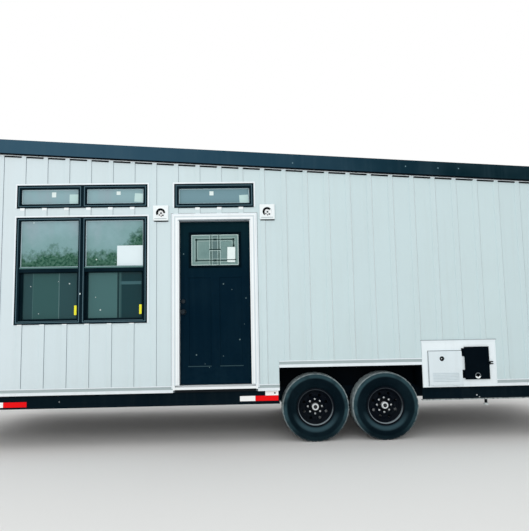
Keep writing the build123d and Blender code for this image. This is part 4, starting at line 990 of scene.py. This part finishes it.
# Utility panel
# A white sheet steel panel behind the wheels. It carries the water heater's louvred door, with its flue
# hole, and a black moulded hatch for the power cord, on two hinges with a slide latch and a ringed cord
# port.
heater_middle, heater_foot, heater_height = plate_low.x + 0.264, plate_low.z + 0.026, 0.381
flue_x, flue_z = heater_middle - 0.0395, heater_foot + heater_height - 0.084
flue_shade_radius, flue_pin = 0.030, 0.0055
heater_inside = Finish("heater_inside")
from_flue = heater_inside.stretch((1.0, 0.0, 1.0), Location=(-flue_x, 0.0, -flue_z))
from_flue = heater_inside.add("ShaderNodeVectorMath", {0: from_flue}, operation="LENGTH")["Value"]
paint, _ = heater_inside.weather((24, 30, 34), (60, 56, 50), 0.4, 0.0, 0.0, 1.0)
# Inside the flue hole the case is painted near black round a pale pin: painted shade in the hole.
for value, most, shade in ((heater_inside.axes()[1], near, (226, 236, 240)),
                           (from_flue, flue_shade_radius, (8, 14, 18)), (from_flue, flue_pin, (232, 238, 240))):
    paint = heater_inside.blend(heater_inside.math("LESS_THAN", value, most), paint, shade)
heater_inside.settle(paint, 0.55, 0.06)
panel_white, heater_white = [
    finish(name, paint, (176, 184, 184), 0.32, 0.6, blotches=0.12, streaks=0.12, dust=0.3, dust_top=0.9,
           grain=500.0, depth=0.0001)
    for name, paint in (("panel_white", (232, 242, 246)), ("heater_door_white", (219, 231, 236)))]
moulded_black = finish("moulded_black", (4, 12, 19), (24, 32, 38), 0.34, 0.6, shine=0.012, blotches=0.1,
                       grain=700.0, depth=0.0002)
ring_metal = finish("ring_metal", (138, 148, 152), (96, 104, 106), 0.35, 0.6, blotches=0.4)
coat(panel_white, "utility_panel")
coat(heater_white, "heater_door")
coat(heater_inside.material, "heater_case")
coat(moulded_black, "hatch_box", "hatch_lid", "hatch_hinges")
heater_low, heater_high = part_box("heater_door")
hatch_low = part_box("hatch_lid")[0]
plate_face, plate_head = plate_low.y, plate_high.z
flashing = bmesh.new()
bar(flashing, (plate_low.x - 0.012, near - 0.0155, plate_head + 0.010),
    (plate_high.x + 0.012, near - 0.001, plate_head + 0.019), 0.001)
fit("panel_drip_flange", flashing, flashing_paint)
edges = bmesh.new()
hem_width = 0.010
surround(edges, inner_box(plate_low, plate_high, hem_width), hem_width, plate_face, plate_face - 0.003,
         0.001)
bar(edges, (plate_low.x - 0.004, near - 0.019, plate_head - 0.001),
    (plate_high.x + 0.004, near - 0.001, plate_head + 0.010), 0.002)
fit("panel_hem", edges, panel_white)
# A grey line round the heater door is painted shadow in the gap round it.
gap = bmesh.new()
surround(gap, inner_box(heater_low, heater_high, -0.001), 0.0075, plate_face + bury, plate_face - 0.0006,
         ease=0.0)
fit("heater_door_shadow_line", gap, shadow_line_grey)

heater_face = heater_low.y
rings = bmesh.new()
for radius in (0.041, 0.056, 0.071):
    turned(rings, (flue_x, heater_face, flue_z), [(radius - 0.0022, 0.0004), (radius, -0.0012),
                                                  (radius + 0.0022, 0.0004)], steps=48)
fit("heater_door_rings", rings, heater_white, "heater_door", rounded=True)
louvres = bmesh.new()
half_louvre, louvre_pitch, first_lip, lip_height = 0.150, 0.018, 0.043, 0.0055
for step in range(6):
    lip = heater_foot + first_lip + step * louvre_pitch
    bar(louvres, (heater_middle - half_louvre, heater_face - 0.0027, lip),
        (heater_middle + half_louvre, heater_face + 0.001, lip + lip_height), 0.001)
fit("heater_louvre_lips", louvres, heater_white, "heater_door")

port_centre = (plate_low.x + 0.634, hatch_low.y + 0.004, plate_low.z + 0.124)
port = bmesh.new()
turned(port, port_centre, [(0.026, 0.0), (0.027, -0.003), (0.031, -0.0035), (0.034, -0.001),
                           (0.034, 0.0005)])
fit("cord_port_ring", port, ring_metal, "hatch_lid", rounded=True)
# A white lip round the lower half of the port is a painted highlight.
lip = bmesh.new()
turned(lip, port_centre, [(0.015, 0.0), (0.017, -0.004), (0.033, -0.004), (0.033, 0.0)], radians(105),
       radians(150), 20)
fit("cord_port_lit_lip", lip, edge_white, "hatch_lid")
latch = bmesh.new()
latch_level, half_latch = plate_low.z + 0.2675, 0.0155
lid_edge = plate_low.x + 0.7755
bar(latch, (lid_edge - 0.002, plate_face - 0.009, latch_level - half_latch),
    (lid_edge + 0.022, plate_face - 0.0005, latch_level + half_latch), 0.001)
fit("hatch_latch_slide", latch, moulded_black, "hatch_lid")


# Trailer frame
# Welded channel in satin black paint: two main rails, side rails under the walls, cross members, an A-frame
# tongue with its coupler and jack, and boxes over the wheels. Road dust lies on all of it.
chassis_paint = finish("frame_paint", (8, 21, 30), (44, 50, 48), 0.42, 0.8, shine=0.02, blotches=0.16,
                       streaks=0.08, dust=0.18, dust_top=0.65, grain=160.0, depth=0.0005)
well_paint = finish("well_paint", (6, 12, 18), (30, 32, 30), 0.6, 0.9, shine=0.01, blotches=0.2,
                    streaks=0.1, dust=0.1, dust_top=0.9, grain=140.0, depth=0.0006)
spring_steel = finish("spring_steel", (22, 26, 28), (96, 70, 48), 0.5, 0.85, shine=0.1, blotches=0.45,
                      dust=0.3, dust_top=0.6, grain=120.0, depth=0.0005)
rail_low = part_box("side_rails")[0]
highlight_top, highlight_full = rail_low.z + 0.016, rail_low.z + 0.008
rail_paint = Finish("side_rail_paint")
x, _, z = rail_paint.axes()
paint, grime = rail_paint.weather((6, 20, 28), (40, 50, 52), 0.10, 0.14, 0.12, 0.60)
speckle = rail_paint.ramp(rail_paint.noise(40.0, 4.0), 0.34, 0.52)
# A pale speckled line on the rail's lowest edge, behind the wheels, is a painted highlight.
rail_foot_highlight = rail_paint.ramp(z, highlight_top, highlight_full)
rail_foot_highlight = rail_paint.times(rail_foot_highlight, speckle, rail_paint.math("GREATER_THAN", x, arch_high.x))
rail_paint.settle(rail_paint.blend(rail_foot_highlight, paint, (166, 174, 174)), (grime, 0.42, 0.8), 0.015)
rail_paint.relief(speckle, 0.2, 0.0004)
coat(chassis_paint, "main_rails", "cross_members", "tongue_beam_near", "tongue_beam_far", "coupler",
     "tongue_jack", "axles")
coat(rail_paint.material, "side_rails")
coat(well_paint, "wheel_wells")
coat(spring_steel, "leaf_springs", "spring_hangers", "equalisers", "spring_clamps")


# Reflective tape and the small rail fittings
# Red and white tape on the side rails, a pale plate by the wheels, and a short drain stub under the rear
# floor.
tape_red = finish("tape_red", (238, 14, 20), (196, 20, 24), 0.3, 0.5, shine=0.08, blotches=0.25)
tape_white = finish("tape_white", (250, 251, 250), (216, 220, 218), 0.3, 0.5, blotches=0.2)
fitting_zinc = finish("fitting_zinc", (206, 214, 216), (120, 126, 128), 0.35, 0.6, blotches=0.4)
collar_height = 0.022
drain = Finish("drain_black")
paint, _ = drain.weather((14, 20, 24), (70, 74, 74), 0.3, 0.0, 0.0, 1.0)
collar = drain.math("LESS_THAN", drain.axes()[2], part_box("drain_stub")[0].z + collar_height)
drain.settle(drain.blend(collar, paint, (206, 214, 214)), 0.55, 0.05)
coat(drain.material, "drain_stub")
rail_face = rail_low.y
tape_height = 0.058
reds, whites = bmesh.new(), bmesh.new()
# Each tape has its start and end along the rail, and the drop from the wall's foot to its own.
for shape, x0, x1, drop in ((reds, 0.365, 0.628, 0.116), (whites, 0.188, 0.3635, 0.116),
                            (reds, -2.482, -2.221, 0.130), (whites, -2.661, -2.4835, 0.130)):
    foot = wall_foot - drop
    bar(shape, (x0, rail_face - 0.0009, foot), (x1, rail_face + bury, foot + tape_height), 0.0003)
fit("tape_red_near", reds, tape_red)
fit("tape_white_near", whites, tape_white)
marker_start, marker_end, marker_foot, marker_top = 0.478, 0.6285, 0.5435, 0.5975
bolt_x, bolt_z, bolt_radius = 0.588, 0.570, 0.0095
marker = bmesh.new()
bar(marker, (marker_start, rail_face - 0.0022, marker_foot), (marker_end, rail_face + bury, marker_top),
    0.0008)
fit("rail_marker_plate", marker, tape_white)
fixings = bmesh.new()
peg(fixings, (bolt_x, rail_face - 0.001, bolt_z), (bolt_x, rail_face - 0.0045, bolt_z), bolt_radius, 20,
    ease=0.001)
fit("rail_marker_bolt", fixings, chassis_paint, rounded=True)
fixings = bmesh.new()
for x, z, radius in ((2.922, 0.498, 0.0085), (2.952, 0.476, 0.006), (-1.855, 0.521, 0.005)):
    peg(fixings, (x, rail_face + 0.001, z), (x, rail_face - 0.006, z), radius, 6, ease=0.0008)
    peg(fixings, (x, rail_face - 0.005, z), (x, rail_face - 0.009, z), radius * 0.5, 12, ease=0.0006)
fit("rail_bolts", fixings, fitting_zinc)


# Tyres
# Trailer tyres with five ribs and lugged shoulders, dusty from the road. The sidewall is plain, with a bead
# guard and two moulded rings.
tyre_low, tyre_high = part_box("tyre_front_near")
tyre_radius = (tyre_high.z - tyre_low.z) / 2
tyre_half = (tyre_high.y - tyre_low.y) / 2
bead_radius, seat_radius, bead_half = 0.203, 0.221, 0.088
shoulder_radius, shoulder_half = tyre_radius - 0.020, 0.105
bulge = tyre_half - 0.0975
tread_half = 0.092
groove_depth, groove_top, groove_bottom = 0.008, 0.005, 0.003
tyre_steps, lug_spacing = 96, 3
lug_reach = 0.062
shoulder_sheen_band, dusty_tread = (0.325, 0.345), (0.371, 0.381)
sidewall_sheen_outer, sidewall_sheen_inner = (0.288, 0.262), (0.222, 0.240)
rubber = Finish("tyre_rubber")
reach = rubber.reach()
speck = rubber.noise(28.0, 6.0)
# Towards the ground the tyre's dust and painted light fade: painted shade low down.
lit_above_ground = rubber.ramp(rubber.axes()[2], 0.08, 0.30, 0.15)
paint, grime = rubber.weather((6, 19, 26), (34, 56, 64), 0.30, 0.0, 0.05, 0.5)
# The shoulders are painted lighter: a painted reflection of the sky.
shoulder = rubber.times(rubber.ramp(reach, *shoulder_sheen_band), rubber.ramp(rubber.noise(6.0, 4.0), 0.25, 0.50),
                        lit_above_ground)
paint = rubber.blend(shoulder, paint, (48, 72, 79))
# A paler band on the lower sidewall's bulge is a painted highlight.
sidewall_sheen = rubber.times(rubber.ramp(reach, *sidewall_sheen_outer), rubber.ramp(reach, *sidewall_sheen_inner),
                     rubber.ramp(rubber.axes()[2], 0.34, 0.17))
paint = rubber.blend(sidewall_sheen, paint, (50, 72, 80))
dusty = rubber.times(rubber.ramp(reach, *dusty_tread), rubber.ramp(speck, 0.2, 0.5), lit_above_ground)
rubber.settle(rubber.blend(dusty, paint, (142, 154, 156)), (grime, 0.5, 0.85), 0.02)
rubber.relief(speck, 0.3, 0.0008)


def tyre_side():
    """Points of one side of the tyre's section, from the bead to the edge of the tread."""
    points = [(bead_radius, bead_half)]
    for step in range(17):
        share = step / 16
        half = bead_half + (shoulder_half - bead_half) * share + 4 * bulge * share * (1 - share)
        ring = {1: 0.002, 2: 0.002, 6: 0.0012, 13: 0.0015, 14: 0.0015}.get(step, 0.0)
        points.append((seat_radius + (shoulder_radius - seat_radius) * share, half - 0.002 + ring))
    for step in range(1, 5):
        angle = step / 5 * pi / 2
        points.append((shoulder_radius + (tyre_radius - shoulder_radius) * sin(angle),
                       tread_half + (shoulder_half - tread_half) * cos(angle)))
    return points


def tyre_section():
    """The whole section, with the tread's grooves."""
    side = tyre_side()
    tread = [(tyre_radius, tread_half)]
    for middle in (0.055, 0.019, -0.019, -0.055):
        tread += [(tyre_radius, middle + groove_top), (tyre_radius - groove_depth, middle + groove_bottom),
                  (tyre_radius - groove_depth, middle - groove_bottom), (tyre_radius, middle - groove_top)]
    tread.append((tyre_radius, -tread_half))
    return side + tread + [(radius, -half) for radius, half in reversed(side)]


def mark_reach(shape, centre):
    """Notes on each point how far it is from the axle, which dust and the painted light follow."""
    layer = shape.verts.layers.float.new("reach")
    for vert in shape.verts:
        vert[layer] = hypot(vert.co.x - centre.x, vert.co.z - centre.z)
    return shape


wheel_spots = ("front_near", "front_far", "rear_near", "rear_far")
for spot in wheel_spots:
    low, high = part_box(f"tyre_{spot}")
    centre = (low + high) / 2
    shape = bmesh.new()
    verts = [shape.verts.new((centre.x, centre.y + half, centre.z + radius))
             for radius, half in tyre_section()]
    edges = [shape.edges.new((verts[i - 1], verts[i])) for i in range(len(verts))]
    bmesh.ops.spin(shape, geom=verts + edges, cent=centre, axis=(0, 1, 0), dvec=(0, 0, 0), angle=2 * pi,
                   steps=tyre_steps, use_merge=True)
    bmesh.ops.remove_doubles(shape, verts=shape.verts[:], dist=1e-5)
    outward(shape)
    lugs = []
    for face in shape.faces:
        middle = face.calc_center_median() - centre
        step = int((atan2(middle.z, middle.x) + 2 * pi) / (2 * pi) * tyre_steps + 0.01)
        far_out = hypot(middle.x, middle.z) > shoulder_radius - 0.002
        if step % lug_spacing == 0 and abs(middle.y) > lug_reach and far_out:
            lugs.append(face)
    bmesh.ops.inset_region(shape, faces=lugs, thickness=0.0012, depth=-0.004, use_even_offset=True)
    piece = fit(f"tyre_with_tread_{spot}", mark_reach(shape, centre), rubber.material,
                f"wheel_{spot}", rounded=True)
    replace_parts(piece, f"tyre_{spot}")


# Wheels and hubs
# Black painted steel wheels held by eight plated nuts. The hub's nose shows through the middle with a
# bright ring and a dark cap, and grey brake drums show through the hand holes, painted in light and shade.
rim_radius, rim_half = 0.2005, 0.0036
wheel_black = Finish("wheel_black")
paint, grime = wheel_black.weather((8, 14, 22), (40, 44, 44), 0.2, 0.0, 0.1, 0.5)
# A pale arc on the rim's lower edge is a painted highlight.
rim_highlight = wheel_black.times(wheel_black.math("COMPARE", wheel_black.reach(), rim_radius, rim_half),
                             wheel_black.ramp(wheel_black.axes()[2], 0.40, 0.26, 0.12, 0.85))
wheel_black.settle(wheel_black.blend(rim_highlight, paint, (138, 150, 156)), (grime, 0.3, 0.7), 0.03)
wheel_black.relief(wheel_black.noise(220.0, 2.0), 0.35, 0.0003)

cap_radius, nose_radius, collar_radius, drum_radius = 0.0225, 0.0415, 0.066, 0.101
sunlit_half = 0.028
sunlit_spots = ((1.168, 0.306), (1.735, 0.346), (1.992, 0.346))
hub = Finish("hub_metal")
reach = hub.reach()
cap = hub.math("LESS_THAN", reach, cap_radius)
collar = hub.times(hub.math("GREATER_THAN", reach, nose_radius),
                   hub.math("LESS_THAN", reach, collar_radius))
dark = hub.math("MAXIMUM", cap, collar)
drum = hub.math("GREATER_THAN", reach, drum_radius)
paint, grime = hub.weather((230, 236, 238), (120, 112, 100), 0.25, 0.0, 0.1, 0.5)
paint = hub.blend(dark, paint, (10, 14, 18))
# The drums are painted near black up top as painted shade, with pale patches and sunlit spots low down as
# painted light.
lit_patch = hub.times(hub.ramp(hub.noise(9.0, 1.0), 0.44, 0.60), hub.ramp(hub.axes()[2], 0.40, 0.33))
drum_light_and_shade = hub.blend(lit_patch, (14, 18, 22), (206, 212, 214))
drum_light_and_shade = hub.blend(hub.marks(sunlit_half, sunlit_spots), drum_light_and_shade, (232, 238, 240))
plated = hub.math("SUBTRACT", hub.math("SUBTRACT", 1.0, dark), drum)
hub.settle(hub.blend(drum, paint, drum_light_and_shade), (grime, 0.25, 0.7), more={"Metallic": hub.times(plated, 0.7)})


def merged_copy(name):
    """A copy of a part with its loose triangles joined, so that round faces can be smooth."""
    shape = bmesh.new()
    shape.from_mesh(nodes[name].data)
    bmesh.ops.remove_doubles(shape, verts=shape.verts[:], dist=1e-5)
    return shape


for spot in wheel_spots:
    low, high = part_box(f"tyre_{spot}")
    for name, node, material, slot in (
            (f"hub_and_drum_{spot}", f"hub_{spot}", hub.material, "hub"),
            (f"steel_wheel_{spot}", f"wheel_{spot}", wheel_black.material, "wheel")):
        shape = mark_reach(merged_copy(node), (low + high) / 2)
        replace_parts(fit(name, shape, material, f"wheel_{spot}", rounded=True), node)


# Floor
# Plank flooring nailed to a framed deck, with a narrow joint between one board and the next, and a black
# membrane stretched underneath.
plank_width, plank_gap = 0.14, 0.0025
floor_finish = Finish("floor_boards")
_, y, z = floor_finish.axes()
grain = floor_finish.noise(3.0, 6.0, floor_finish.stretch((0.8, 11.0, 11.0)))
wood = floor_finish.blend(grain, (150, 118, 82), (116, 86, 56))
joint = floor_finish.math("LESS_THAN", floor_finish.math("PINGPONG", y, plank_width), plank_gap)
wood = floor_finish.blend(joint, wood, (44, 32, 22))
under = floor_finish.math("LESS_THAN", z, wall_foot + 0.001)
floor_finish.settle(floor_finish.blend(under, wood, (16, 18, 20)), 0.55)
floor_finish.relief(grain, 0.3, 0.001)
coat(floor_finish.material, "floor_deck")


# Studio
# A pale floor, a white surround that lights the house evenly, one broad soft lamp from the front, and the
# camera at the photographed angle.
ground = bmesh.new()
bmesh.ops.create_grid(ground, x_segments=1, y_segments=1, size=60.0)
ground_mesh = bpy.data.meshes.new("studio_floor")
ground.to_mesh(ground_mesh)
ground.free()
floor_paint = Finish("studio_floor")
floor_paint.settle((0.80, 0.80, 0.79, 1.0), 0.9)
ground_mesh.materials.append(floor_paint.material)
studio_floor = bpy.data.objects.new("studio_floor", ground_mesh)
bpy.context.scene.collection.objects.link(studio_floor)

world = bpy.data.worlds.new("studio")
bpy.context.scene.world = world
world.use_nodes = True
surround_light = Nodes(world.node_tree)
seen = surround_light.add("ShaderNodeLightPath", {})
direct = surround_light.math("MAXIMUM", seen["Is Camera Ray"], seen["Is Glossy Ray"])
direct = surround_light.math("MAXIMUM", direct, seen["Is Transmission Ray"])
surround_light.join(world.node_tree.nodes["Background"], {
    "Color": (1.0, 1.0, 1.0, 1.0), "Strength": surround_light.ramp(direct, least=0.85)})

lamp_spot, lamp_turn, lamp_pitch = Vector((-1.5, -11.0, 4.6)), radians(-6), radians(74)
lamp = bpy.data.lights.new("front_softbox", "AREA")
lamp.shape = "RECTANGLE"
lamp.size, lamp.size_y = 12.0, 5.0
lamp.energy = 350.0
softbox = bpy.data.objects.new("front_softbox", lamp)
softbox.visible_glossy = False
softbox.matrix_world = (Matrix.Translation(lamp_spot) @ Matrix.Rotation(lamp_turn, 4, "Z")
                        @ Matrix.Rotation(lamp_pitch, 4, "X"))
bpy.context.scene.collection.objects.link(softbox)

camera_spot = Vector((0.326, -7.404, 1.426))
camera_turn, camera_pitch, camera_roll = radians(1.57), radians(5.65), radians(1.03)
focal_pixels, image_width, image_height = 530.0, 529, 531
lens = bpy.data.cameras.new("photo_camera")
lens.sensor_width = 36.0
lens.lens = lens.sensor_width * focal_pixels / max(image_width, image_height)
camera = bpy.data.objects.new("photo_camera", lens)
camera.matrix_world = (Matrix.Translation(camera_spot) @ Matrix.Rotation(-camera_turn, 4, "Z")
                       @ Matrix.Rotation(pi / 2 + camera_pitch, 4, "X")
                       @ Matrix.Rotation(-camera_roll, 4, "Z"))
bpy.context.scene.collection.objects.link(camera)
bpy.context.scene.camera = camera
bpy.context.scene.view_settings.view_transform = "Standard"
